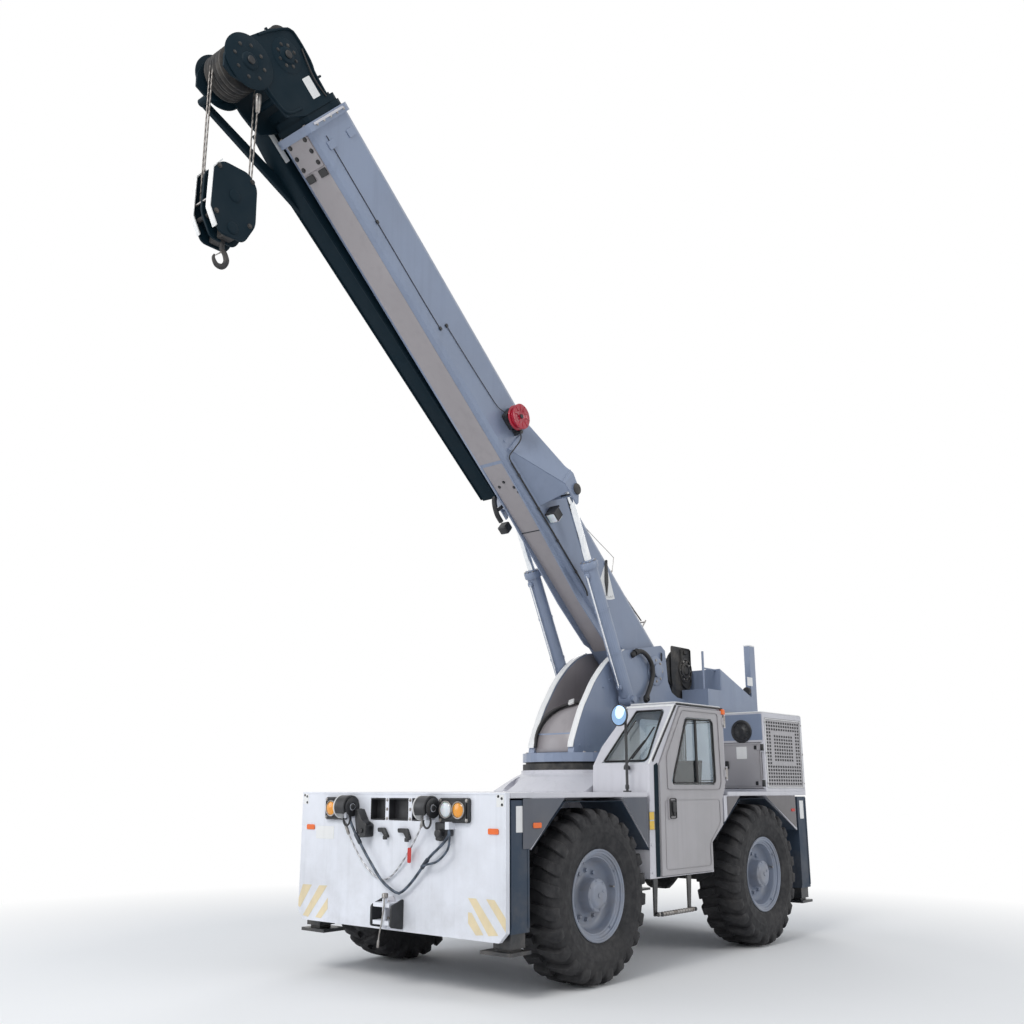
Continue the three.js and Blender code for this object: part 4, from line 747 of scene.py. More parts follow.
class CRANE_OT_slings(bpy.types.Operator):
    """Two wire slings that hang on the horns of the front plate, with their eyes and ferrules"""

    bl_idname = "crane.slings"
    bl_label = "Slings"

    def execute(self, context):
        sizes = context.scene.crane_sizes
        y = PLATE_Y
        top = HORN_Z - HORN_R - 0.0003
        light = [(HORN_X[0] - .035, y - HORN_REACH, top), (HORN_X[0] - .035, y - HORN_REACH, top - .060),
                 (-.470, y - .060, 1.110), (-.345, y - .030, .925), (-.215, y - .018, .822),
                 (-.110, y - .015, .790), (-.005, y - .018, .826), (.130, y - .028, .945),
                 (.290, y - .052, 1.120), (HORN_X[1] - .036, y - HORN_REACH, top - .060),
                 (HORN_X[1] - .036, y - HORN_REACH, top)]
        dark = [(HORN_X[0] + .050, y - HORN_REACH, top), (HORN_X[0] + .050, y - HORN_REACH, top - .090),
                (-.330, y - .066, 1.060), (-.200, y - .052, .900), (-.085, y - .042, .780),
                (.060, y - .036, .706), (.130, y - .036, .712), (.240, y - .040, .790),
                (.345, y - .046, .890),
                (.440, y - .048, .985), (SLING_LUG_X - .070, y - .050, 1.080), (SLING_LUG_X, y - .050, 1.150),
                (SLING_LUG_X, y - .050, 1.195 - .0003)]
        light_path, dark_path = smooth_path(light, 40), smooth_path(dark, 40)
        light_r, dark_r = sizes.light_sling_diameter / 2, sizes.dark_sling_diameter / 2
        light_sling = rope_piece("light_wire_sling", light_path, light_r, "carrier", "bright_rope",
                                 ("light_sling",))
        dark_sling = rope_piece("dark_heavy_sling", dark_path, dark_r, "carrier", "blue_gray_rope",
                                ("dark_sling",))

        ferrules = []
        for path, r, at in ((light_path, light_r, (3, 36)), (dark_path, dark_r, (5, 29))):
            for k in at:
                a, b = path[k], path[k + 2]
                mid = (a + b) / 2
                axis = (b - a) / np.linalg.norm(b - a)
                n = 0.052
                ferrules.append(turned([(-n, r + .001), (-n * .8, r + .006), (n * .8, r + .006),
                                        (n, r + .001)],
                                       mid, axis, 16))
        light_fer = add_piece("light_sling_ferrules", merged(ferrules[:2]), "carrier", "worn_steel")
        dark_fer = add_piece("dark_sling_ferrules", merged(ferrules[2:]), "carrier", "blue_gray_rope")

        # second leg of the dark eye: out of the splice, out to the right and up behind the bracket
        eye = smooth_path([dark_path[29] + (.004, -.012, .01), (.420, y - .062, .930), (.540, y - .064, .960),
                           (.640, y - .066, 1.040), (.665, y - .066, 1.120), (.655, y - .060, 1.195)], 34)
        eye_leg = rope_piece("dark_sling_eye", eye, dark_r * 0.8, "carrier", "blue_gray_rope")
        tag_at = light_path[30]
        tag = moved(prism(rounded(-.020, .020, -.115, .0, .010), -.002, .002, .0008), (0, 0, 0))
        tag = placed(tag, tag_at + (0.004, -.012, .008), (1, 0, 0), (0.06, -.04, 1))
        red = add_piece("sling_tag", tag, "carrier", "red_tag")
        return {"FINISHED"}


# ------------------------------------------------------------------ wheels
def carcass():
    """Tyre body turned about the axle: bead, bulged side wall with moulded rings, shoulder and tread base."""
    half = [(.160, .3235), (.172, .336), (.184, .352), (.186, .362), (.196, .378), (.2005, .384),
            (.2005, .392),
            (.2015, .398), (.211, .430), (.2185, .470), (.2195, .478), (.2215, .482), (.2215, .492),
            (.2205, .497),
            (.2205, .520), (.2175, .548), (.2125, .575), (.204, .598), (.188, .618), (.150, .631),
            (.075, .636)]
    profile = half + [(-x, r) for x, r in reversed(half)]
    return lathe(profile, 96, loop=True)


def lug(height):
    """One tread block: rings across it run from the middle of the tread over the shoulder, joining a line on the
    carcass to a line one lug height above it, and slanting round the tyre as they go."""
    x = np.array([.008, .050, .100, .148, .184, .206, .2185, .2222, .2200])
    outer = np.array([.672, .6718, .6705, .668, .660, .644, .620, .590, .560])
    in_x = np.array([.008, .050, .100, .145, .170, .186, .196, .202, .206])
    inner = np.maximum(outer - height - .022, .535)
    width = np.array([.058, .064, .072, .082, .088, .090, .086, .078, .066])
    slant = np.array([.0, .012, .032, .058, .075, .083, .087, .088, .088])
    side = np.array([-.56, -.50, -.44, .44, .50, .56])
    rise = np.array([.0, .88, 1.0, 1.0, .88, .0])
    r = inner[:, None] + (outer - inner)[:, None] * rise
    across = in_x[:, None] + (x - in_x)[:, None] * rise
    turn = slant[:, None] + width[:, None] * side / r
    return across, r, turn


def tread(count, height):
    """All lugs of a tyre, as one array: each side's row is turned by half a step against the other."""
    across, r, turn = lug(height)
    rows, cols = r.shape
    step = 2 * math.pi / count
    base = grid_faces(rows, cols) + [tuple(range(cols))[::-1], tuple(range((rows - 1) * cols, rows * cols))]
    lugs = []
    for side in (1, -1):
        spin = (np.arange(count) + (0.25 if side > 0 else -0.25)) * step
        angle = turn[None] + spin[:, None, None]
        points = np.stack([np.broadcast_to(side * across, angle.shape), r * np.cos(angle), r * np.sin(angle)],
                          -1)
        for block_points in points.reshape(count, -1, 3):
            lugs.append(turned_out(block_points, base))
    return merged(lugs)


def wheel_frame(end, sign):
    """Centre of a wheel and its outward axle direction."""
    return np.array([sign * WHEEL_X, AXLE_Y[end], AXLE_Z]), np.array([sign, 0.0, 0.0])


def on_wheel(shape, end, sign):
    """Wheel shape, made about the first axis, moved to its axle end with that axis pointing out."""
    centre, out = wheel_frame(end, sign)
    return placed(shape, centre, out, (0, 0, 1))


def wheels():
    """End, side and sign of x of each of the four wheels."""
    for end in ("front", "rear"):
        for side, sign in (("left", 1), ("right", -1)):
            yield end, side, sign


class CRANE_OT_tyres(bpy.types.Operator):
    """Four earthmover tyres with block lugs that wrap over the shoulders"""

    bl_idname = "crane.tyres"
    bl_label = "Tyres"

    def execute(self, context):
        sizes = context.scene.crane_sizes
        shape = merged([carcass(), tread(sizes.lug_count, sizes.lug_height)])
        for end, side, sign in wheels():
            add_piece(f"{end}_{side}_lugged_tyre", on_wheel(shape, end, sign), f"{end}_{side}_wheel",
                      "tyre_rubber", 40, (f"{end}_{side}_tyre",))
        return {"FINISHED"}


class CRANE_OT_rims(bpy.types.Operator):
    """Deep-dished wheels with lock rings, wheel nuts and planetary hub covers"""

    bl_idname = "crane.rims"
    bl_label = "Rims and Hubs"

    def execute(self, context):
        nuts = context.scene.crane_sizes.wheel_nuts
        face = [(.196, .058), (.196, .080), (.192, .092), (.183, .100), (.179, .106), (.179, .121),
                (.173, .1265),
                (.086, .128), (.070, .135), (.060, .148), (.056, .160), (.054, .226), (.060, .246),
                (.078, .266),
                (.104, .278), (.140, .284), (.150, .290), (.153, .300), (.160, .303), (.166, .312),
                (.169, .332),
                (.174, .347), (.182, .3545), (.190, .3545), (.194, .348), (.1905, .340), (.183, .336),
                (.180, .3215), (.10, .3215), (.04, .312), (-.06, .312), (-.178, .3215), (-.180, .350),
                (-.190, .3545),
                (-.192, .305), (-.100, .297), (.020, .297), (.022, .098)]
        disc = lathe(face, 96)
        for end, side, sign in wheels():
            centre, out = wheel_frame(end, sign)
            body = f"{end}_{side}_wheel"
            hub = [ring_of(nuts, .187, centre + out * .054, out),
                   ring_of(8, .114, centre + out * .1785, out, .2)]
            studs = merged([bolt_heads(hub[0], out, .0165, .022), bolt_heads(hub[1], out, .008, .006),
                            rod(centre + out * .19, centre + out * .203, .022),
                            rod(centre + out * .19 + (0, .05, .03), centre + out * .201 + (0, .05, .03),
                                .012)])
            valve_at = centre + out * .11 + np.array([0, .262, .05])
            clips = merged([placed(block(-.020, .020, -.011, .011, .0, .012, .004, .003), p, out,
                                   np.cross((p - centre) / np.linalg.norm(p - centre), out))
                            for p in ring_of(4, .3, centre + out * .157, out, .6)])
            add_piece(f"{end}_{side}_wheel_disc", on_wheel(disc, end, sign), body, "wheel_paint",
                            34, (f"{end}_{side}_rim",))
            add_piece(f"{end}_{side}_hub_bolts", studs, body, "wheel_paint")
            add_piece(f"{end}_{side}_rim_clips", clips, body, "wheel_paint")
            add_piece(f"{end}_{side}_valve", rod(valve_at, valve_at + out * .05 + (0, -.012, 0), .007), body,
                      "worn_steel")
        return {"FINISHED"}


# ------------------------------------------------------------------ dress of the front plate
def softened(outline, r, steps=4):
    """Outline whose corners are cut by short quadratic curves from r before to r after each corner."""
    p = np.asarray(outline, float)
    before, after = np.roll(p, 1, 0) - p, np.roll(p, -1, 0) - p
    la, lb = np.linalg.norm(before, axis=1, keepdims=True), np.linalg.norm(after, axis=1, keepdims=True)
    a, b = p + before / la * np.minimum(r, .45 * la), p + after / lb * np.minimum(r, .45 * lb)
    t = np.linspace(0, 1, steps + 1)[None, :, None]
    curve = (1 - t) ** 2 * a[:, None] + 2 * t * (1 - t) * p[:, None] + t ** 2 * b[:, None]
    return curve.reshape(-1, 2)


def band(outline, out, inn, low, high):
    """Frame round a closed outline, from 'out' outside it to 'inn' inside it, crowned from low to high."""
    outline = np.asarray(outline, float)
    outer, inner = inset(outline, -out), inset(outline, inn)
    shoulder = low + .65 * (high - low)
    parts = [(outer, low), (outer, shoulder), (outer + (inner - outer) * .25, high),
             (outer + (inner - outer) * .75, high), (inner, shoulder), (inner, low)]
    return skin(np.stack([np.column_stack([o, np.full(len(o), h)]) for o, h in parts], 1), loop=True)


def on_plate(shape):
    """Shape coordinates (a, b, c) become x, z and the distance out from the front plate's face."""
    return placed(shape, (0, PLATE_Y, 0), (1, 0, 0), (0, 0, 1), (0, -1, 0))


def on_side(shape, x=SIDE_X, y=0.0, z=0.0):
    """Shape coordinates (a, b, c) become y, z and the distance out from an upright side plane."""
    return placed(shape, (x, y, z), (0, 1, 0), (0, 0, 1), (1, 0, 0))


def slab(outline, low, high, r=.006, bevel=.002):
    """Prism on an outline whose corners are softened by r."""
    return prism(softened(outline, r, 3), low, high, bevel)


def lens(radius):
    """Lamp lens about the first axis: a rim step, then a quarter circle dome flattened to a third."""
    t = np.linspace(0, math.pi / 2 * .97, 8)
    return np.column_stack([.004 + radius * .34 * np.sin(t), radius * np.cos(t)])


class CRANE_OT_front_dress(bpy.types.Operator):
    """Lamp boxes, horn hooks, stripes, reflectors, towing jaw and small brackets of the front plate"""

    bl_idname = "crane.front_dress"
    bl_label = "Front Plate Dress"

    def execute(self, context):
        front = np.array([0, -1.0, 0])

        def at(x, z, out):
            return np.array([x, PLATE_Y - out, z])

        boxes, rings, bolts = [], [], []
        for x0, x1 in ((-.828, -.572), (.514, .828)):
            boxes.append(on_plate(prism(rounded(x0, x1, 1.243, 1.427, .022), .0004, .034, .006)))
            boxes.append(on_plate(band(rounded(x0 + .012, x1 - .012, 1.255, 1.415, .016), .006, .006, .030,
                                       .040)))
            bolts += [at(x, z, .034) for x in (x0 + .020, x1 - .020) for z in (1.263, 1.407)]
        lamps = {"amber_lens": [(-.742, 1.335), (.728, 1.337)], "white_lens": [(.596, 1.340)]}
        for finish, places in lamps.items():
            for x, z in places:
                rings.append(turned([(.028, .056), (.028, .066), (.046, .066), (.050, .062), (.049, .057),
                                     (.040, .054)], at(x, z, 0), front, 32, True))
            lenses = merged([turned(lens(.057), at(x, z, .034), front, 32) for x, z in places])
            add_piece("front_" + finish, lenses, "carrier", finish, 40)
        add_piece("front_lamp_boxes", merged(boxes), "carrier", "satin_black")
        add_piece("front_lamp_rings", merged(rings), "carrier", "worn_steel")
        add_piece("front_lamp_bolts", bolt_heads(np.array(bolts), front, .011, .007), "carrier", "worn_steel")

        # hooks over the horns: a round-topped dark casting between a pale outer flange, which is a painted
        # highlight, and a dark inner one
        dark, pale = [], []
        for x in HORN_X:
            y = PLATE_Y - HORN_REACH
            t = np.linspace(math.radians(-35), math.radians(215), 22)
            arch = np.concatenate([np.column_stack([.094 * np.cos(t), .094 * np.sin(t)]),
                                   np.column_stack([.050 * np.cos(t[::-1]), .050 * np.sin(t[::-1])])])
            dark.append(along_x(moved(prism(arch, x - .058, x + .058, .006), (y, HORN_Z, 0))))
            for k, (off, r) in enumerate(((-.071, .094), (.060, .076))):
                flange = turned([(.0, .034), (.0, r - .010), (.003, r), (.010, r), (.013, r - .006),
                                 (.013, .034)],
                                (x + off, y, HORN_Z), (1, 0, 0), 40, True)
                (dark if k else pale).append(flange)
            pale.append(rod((x - .086, y, HORN_Z), (x - .062, y, HORN_Z), .022, 16, .006))
            dark.append(rod((x + .062, y, HORN_Z), (x + .078, y, HORN_Z), .024, 16, .006))
            loop = np.column_stack([.040 * np.cos(np.arange(20) * math.pi / 10),
                                    .052 * np.sin(np.arange(20) * math.pi / 10)])
            ring = np.column_stack([x + .012 + loop[:, 0], np.full(20, y - .010), 1.252 + loop[:, 1]])
            dark.append(pipe(ring, .008, 10, True))
        tail = [(-.428, 1.330), (-.372, 1.340), (-.300, 1.240), (-.246, 1.215), (-.248, 1.117),
                (-.330, 1.108),
                (-.402, 1.149), (-.420, 1.240)]
        dark += [on_plate(slab(tail, .012, .060, .016, .008)),
                 on_plate(slab(tail[1:6], .0004, .090, .014, .006)),
                 on_plate(slab([(.486, 1.246), (.640, 1.243), (.652, 1.145), (.580, 1.138), (.556, 1.104),
                                (.493, 1.110)], .0004, .046, .014, .006)),
                 rod(at(.560, 1.165, .044), at(.560, 1.165, .098), .034, 20, .008),
                 rod(at(-.300, 1.165, .088), at(-.300, 1.165, .102), .020, 16, .004)]
        for hook in (((-.174, 1.190), (-.101, 1.190), (-.053, 1.121), (-.080, 1.108), (-.124, 1.156),
                      (-.168, 1.156)),
                     ((.059, 1.190), (.160, 1.190), (.199, 1.114), (.168, 1.097), (.124, 1.156),
                      (.063, 1.156))):
            dark.append(on_plate(slab(hook, .0004, .034, .012, .005)))
            dark.append(on_plate(moved(prism(rounded(-.02, .02, -.03, .0, .006), .030, .050, .004),
                                       (hook[3][0] + .01, hook[3][1] + .022, 0))))
        add_piece("horn_hooks", merged(dark), "carrier", "satin_black", 40)
        # the pale outer flanges and their stubs are painted highlights in white
        add_piece("horn_hook_highlight_flanges", merged(pale), "carrier", "white_paint_and_highlight", 40)

        stripes = [
            ((-1.120, .700), (-1.000, .702), (-1.145, .510), (-1.170, .520), (-1.170, .585)),
            ((-.905, .702), (-.800, .706), (-1.035, .440), (-1.105, .450)),
            ((-.788, .612), (-.786, .520), (-.868, .441), (-.940, .446)),
            ((.800, .607), (.838, .606), (.955, .460), (.880, .452), (.803, .530)),
            ((.800, .708), (.880, .709), (1.098, .468), (1.002, .458)),
            ((.978, .710), (1.060, .710), (1.168, .590), (1.168, .494))]
        add_piece("hazard_stripes", merged([on_plate(slab(q, .0004, .0016, .004, .0006)) for q in stripes]),
                  "carrier",
                  "cream_stripe")
        shapes = [on_plate(prism(rounded(x - .052, x + .052, z - .021, z + .021, .010), .0004, .009, .003))
                  for x, z in ((-1.043, 1.176), (1.050, 1.188))]
        for y in (-2.137,):
            shapes.append(on_side(prism(rounded(y - .050, y + .050, 1.206, 1.246, .010), .0034, .012, .003)))
        add_piece("side_reflectors", merged(shapes), "carrier", "orange_reflector")
        blanks = [on_plate(prism(rounded(-.972, -.740, 1.083, 1.188, .008), .0004, .0022, .0008)),
                  on_plate(prism(rounded(-1.160, -1.090, 1.365, 1.455, .006), .0004, .0024, .0008)),
                  on_plate(prism(rounded(1.078, 1.150, 1.364, 1.452, .006), .0004, .0024, .0008))]
        add_piece("blank_plates", merged(blanks), "carrier", "white_paint_and_highlight")
        dots = [at(x, z, .002) for x, z in ((-1.142, 1.44), (-1.108, 1.38), (-1.112, 1.43), (1.096, 1.44),
                                            (1.133, 1.38),
                                            (1.130, 1.425))]
        add_piece("tag_rivets", bolt_heads(np.array(dots), front, .008, .005), "carrier", "satin_black")

        # window frames behind the three openings: a dark box lining each
        lining = []
        for x0, x1 in ((-.292, -.116), (-.077, .149), (.189, .327)):
            hole = rounded(x0 + .003, x1 - .003, 1.251, 1.420, .008)
            lining.append(on_plate(band(hole, .0, .010, -.060, .003)))
            lining.append(on_plate(prism(rounded(x0 - .008, x1 + .008, 1.241, 1.430, .01), -.075, -.0608,
                                         .003)))
        add_piece("opening_linings", merged(lining), "carrier", "satin_black")
        screws = [at(x, z, .0004) for x in (-.096, .169) for z in (1.262, 1.335, 1.408)]
        add_piece("opening_screws", bolt_heads(np.array(screws), front, .010, .006), "carrier", "worn_steel")

        # towing jaw: pale cheek plate with bolts, dark jaw and a drop pin on its ring
        cheek = on_plate(slab([(-.125, .655), (.012, .675), (.030, .640), (.030, .440), (-.125, .450)], .0004,
                              .018,
                              .016, .004))
        jaw = merged([on_side(slab([(-.135, .455), (.0, .430), (.0, .660), (-.135, .610)], .100, .122, .02,
                                   .005),
                              0.0, PLATE_Y),
                      on_side(slab([(-.135, .455), (.0, .430), (.0, .660), (-.135, .610)], -.122, -.100, .02,
                                   .005),
                              0.0, PLATE_Y)])
        add_piece("towing_cheek", cheek, "carrier", "light_gray_paint")
        add_piece("towing_jaw", jaw, "carrier", "satin_black")
        pin = merged([rod(at(.0, .664, .09), at(.0, .700, .09), .026, 20, .006),
                      pipe(smooth_path([at(.0, .690, .116), at(.03, .700, .135), at(.045, .640, .140),
                                        at(.030, .520, .142), at(.0, .400, .140), at(-.010, .352, .138)], 24),
                           .006, 10),
                      rod(at(-.010, .356, .138), at(-.016, .300, .138), .010, 12, .004)])
        add_piece("towing_pin_dress", pin, "carrier", "worn_steel", 40)
        add_piece("towing_bolts", bolt_heads(np.array([at(x, z, .018) for x in (-.100, -.030)
                                                       for z in (.500, .620)]),
                                             front, .014, .010), "carrier", "worn_steel")
        edge = on_plate(prism(rounded(-1.168, 1.168, 1.452, 1.4668, .004), .0004, .004, .0015))
        add_piece("front_plate_lip", edge, "carrier", "lit_front_gray_paint")
        return {"FINISHED"}


# ------------------------------------------------------------------ cab
SCREEN_LOW, SCREEN_HIGH = np.array([-.545, 1.700]), np.array([-.080, 2.258])
SCREEN_LENGTH = float(np.linalg.norm(SCREEN_HIGH - SCREEN_LOW))
SCREEN = [(.645, .030), (1.105, .030), (1.138, .075), (1.085, SCREEN_LENGTH - .085),
          (1.055, SCREEN_LENGTH - .055), (.765, SCREEN_LENGTH - .055)]
DOOR_WINDOW = [(-.212, 1.565), (-.180, 1.530), (.555, 1.530), (.588, 1.562), (.572, 2.118), (.538, 2.150),
               (.082, 2.146), (.048, 2.120)]
DOOR_FACE = SIDE_X + .016


def on_screen(shape):
    """Shape coordinates (a, b, c) become x, the way up the raked screen and the distance out of it."""
    up = (SCREEN_HIGH - SCREEN_LOW) / SCREEN_LENGTH
    return placed(shape, (0, *SCREEN_LOW), (1, 0, 0), (0, *up), (0, -up[1], up[0]))


class CRANE_OT_cab_dress(bpy.types.Operator):
    """Window gaskets, sliding door window, mouldings, latch, wiper, roof edge, rain strips and cab plates"""

    bl_idname = "crane.cab_dress"
    bl_label = "Cab Dress"

    def execute(self, context):
        side = np.array([1.0, 0, 0])
        gaskets = [on_screen(band(softened(SCREEN, .035), .022, .012, -.006, .012)),
                   placed(band(rounded(.720, 1.110, 1.560, 2.150, .05), .018, .010, -.008, .010),
                          (0, .806, 0), (1, 0, 0), (0, 0, 1), (0, 1, 0))]
        add_piece("cab_gaskets", merged(gaskets), "carrier", "gasket_rubber",
                  50)
        door_bands = [on_side(band(softened(DOOR_WINDOW, .03), .024, .012, -.004, .013), DOOR_FACE),
                      on_side(prism(rounded(.232, .262, 1.545, 2.135, .004), -.014, .004, .003), DOOR_FACE)]
        add_piece("door_window_gasket", merged(door_bands), "cab_door_leaf", "gasket_rubber",
                  50)
        frame = [(-.296, 1.480), (.655, 1.480), (.690, 1.560), (.668, 2.212), (.0, 2.212), (-.298, 1.790)]
        add_piece("door_pressing", on_side(band(softened(frame, .04), .007, .007, .0003, .008), DOOR_FACE),
                  "cab_door_leaf", "door_gray_paint", 50)
        low = [(-.352, .800), (.432, .800), (.432, 1.000), (.640, 1.180), (.640, 1.400), (-.340, 1.400)]
        add_piece("door_lower_pressing", on_side(band(softened(low, .04), .004, .004, .0003, .004),
                                                 DOOR_FACE),
                  "cab_door_leaf", "door_gray_paint", 50)
        latch = merged([on_side(band(rounded(-.288, -.172, 1.232, 1.418, .02), .004, .012, .0143, .024),
                                DOOR_FACE),
                        on_side(prism(rounded(-.270, -.190, 1.255, 1.395, .012), .0143, .021, .004),
                                DOOR_FACE),
                        on_side(moved(prism(rounded(-.028, .028, -.045, .045, .01), .018, .038, .006),
                                      (-.230, 1.335, 0)), DOOR_FACE),
                        rod((DOOR_FACE + .020, -.230, 1.278), (DOOR_FACE + .032, -.230, 1.278), .014, 16,
                            .003)])
        add_piece("door_latch", latch, "cab_door_leaf", "satin_black", 40)
        seam = on_side(slab([(-.492, .752), (-.426, .752), (-.412, 1.700), (-.424, 1.722), (-.480, 1.700)],
                            .0006, .0026,
                            .006, .001))
        add_piece("cab_pillar_strip", seam, "carrier", "dark_blue_green_paint")
        edge = on_side(slab([(-.505, 1.745), (-.494, 1.722), (-.060, 2.248), (-.092, 2.250)], .0006, .006,
                            .006, .002))
        rain = rod((SIDE_X + .006, -.070, 2.262), (SIDE_X + .006, .790, 2.262), .009, 12, .003)
        add_piece("cab_rain_strips", merged([edge, rain]), "carrier", "gasket_rubber", 50)
        roof = prism(softened([(.662, -.072), (1.168, -.072), (1.168, .770), (1.150, .800), (.662, .800)],
                              .03), 2.2704,
                     2.283, .006)
        add_piece("cab_roof_skin", roof, "carrier", "white_paint_and_highlight", 40)
        lip = [on_screen(prism(rounded(.640, 1.166, SCREEN_LENGTH - .026, SCREEN_LENGTH - .002, .006), .0004,
                               .006, .002)),
               on_screen(prism(rounded(1.150, 1.167, .01, SCREEN_LENGTH - .02, .006), .0004, .006, .002))]
        add_piece("cab_screen_lip", merged(lip), "carrier", "white_paint_and_highlight", 40)

        # wiper: motor boss under the screen, arm and blade across it
        def spot(u, v, out):
            up = (SCREEN_HIGH - SCREEN_LOW) / SCREEN_LENGTH
            return np.array([u, *(SCREEN_LOW + up * v)]) + np.array([0, -up[1], up[0]]) * out

        wiper = merged([rod(spot(.955, -.035, .0), spot(.955, -.035, .040), .022, 16, .006),
                        pipe(smooth_path([spot(.955, -.035, .036), spot(.985, .09, .040),
                                          spot(1.035, .26, .030)], 14),
                             .007, 8),
                        pipe(smooth_path([spot(.975, .055, .021), spot(1.03, .235, .022),
                                          spot(1.068, .430, .021)], 14),
                             .008, 8),
                        block(.93, .98, -.600, -.560, 1.66, 1.69)])
        add_piece("wiper", wiper, "carrier", "satin_black", 40)
        blade2 = pipe(smooth_path([spot(.80, .34, .022), spot(.815, .44, .022), spot(.835, .52, .022)], 10),
                      .008, 8)
        add_piece("screen_stay", blade2, "carrier", "satin_black", 40)
        plate = merged([on_side(prism(rounded(-.574, -.500, 1.232, 1.298, .006), .0006, .0024, .0008)),
                        on_side(prism(rounded(-.574, -.500, 1.150, 1.222, .006), .0006, .0024, .0008))])
        add_piece("cab_yellow_plates", plate, "carrier", "yellow_plate")
        add_piece("cab_plate_frame", on_side(band(rounded(-.582, -.492, 1.142, 1.306, .008), .004, .004,
                                                  .0006, .004)),
                  "carrier", "satin_black")
        lamp = merged([block(1.165, 1.205, .748, .800, 2.205, 2.255, .01, .006)])
        add_piece("cab_side_marker", moved(lamp, (0, .0, 0)), "carrier", "orange_reflector")
        hinge_pins = merged([turned([(-.055, .004), (-.055, .0135), (.055, .0135), (.055, .004)],
                                    (SIDE_X + .018, .796, z), (0, 0, 1), 16) for z in (1.64, 2.14)])
        add_piece("door_hinge_caps", hinge_pins, "cab_door_leaf", "worn_steel", 40)
        bolts = [(SIDE_X + .0004, y, z) for y, z in ((-.550, .790), (-.550, 1.020), (-.550, 1.400),
                                                     (.760, 1.560),
                                                     (.770, 1.900))]
        add_piece("cab_bolts", bolt_heads(np.array(bolts), side, .010, .006), "carrier", "light_gray_paint")
        # mirror on its pole
        foot = -.650
        pole = merged([rod((1.0, foot, DECK_Z + .0005), (1.0, foot, 2.190), .0125, 14, .004),
                       prism(rounded(.972, 1.028, foot - .028, foot + .028, .006), DECK_Z + .0004,
                             DECK_Z + .0125, .002),
                       rod((1.0, foot, 1.492), (1.0, foot, 1.530), .018, 14, .004),
                       rod((1.0, foot, 2.105), (1.0, foot, 2.155), .018, 14, .004),
                       rod((1.0, foot - .004, 2.13), (.985, foot - .036, 2.13), .010, 12, .002)])
        add_piece("mirror_pole", pole, "carrier", "black_paint", 40, ("mirror",))
        dish = turned([(.0, .010), (.0, .050), (.010, .084), (.022, .0945), (.034, .0965), (.040, .094),
                       (.041, .090),
                       (.037, .088), (.037, .010)], (.985, foot - .036, 2.13), (-.12, -1, .02), 48)
        add_piece("mirror_shell", dish, "carrier", "satin_black", 50)
        t = np.linspace(0, .97, 9)
        glass = np.column_stack([.0378 + .010 * (1 - t ** 2), .002 + .0862 * t])[::-1]
        add_piece("mirror_glass", turned(glass, (.985, foot - .036, 2.13), (-.12, -1, .02), 48), "carrier",
                  "mirror_silver", 60)
        return {"FINISHED"}


class CRANE_OT_cab_step(bpy.types.Operator):
    """Two tapered hangers and a tube rung with end clamps below the cab"""

    bl_idname = "crane.cab_step"
    bl_label = "Cab Step"

    def execute(self, context):
        x = SIDE_X + .050
        legs, clamps = [], []
        for y in (-.540, .020):
            outline = [(y - .010, .7415), (y + .062, .7415), (y + .058, .690), (y + .036, .436),
                       (y - .006, .436),
                       (y - .008, .690)]
            legs.append(on_side(slab(outline, -.008, .008, .010, .003), x - .052))
            clamps.append(rod((x - .060, y + .015, .455), (x + .022, y + .015, .455), .017, 16, .004))
        rung = pipe(smooth_path([(x, -.562, .455), (x, -.30, .454), (x, .0, .454), (x, .062, .455)], 20),
                    .016, 14)
        grip = merged([turned([(-.0, .0155), (.0, .0205), (.012, .0205), (.012, .0155)], (x, y, .4545),
                              (0, 1, 0), 16, True)
                       for y in np.arange(-.50, .0, .045)])
        add_piece("step_hangers", merged(legs), "carrier", "black_paint", 32, ("cab_step",))
        add_piece("step_rung", rung, "carrier", "worn_steel", 50)
        add_piece("step_rung_rings", grip, "carrier", "worn_steel", 50)
        add_piece("step_clamps", merged(clamps), "carrier", "satin_black", 40)
        return {"FINISHED"}


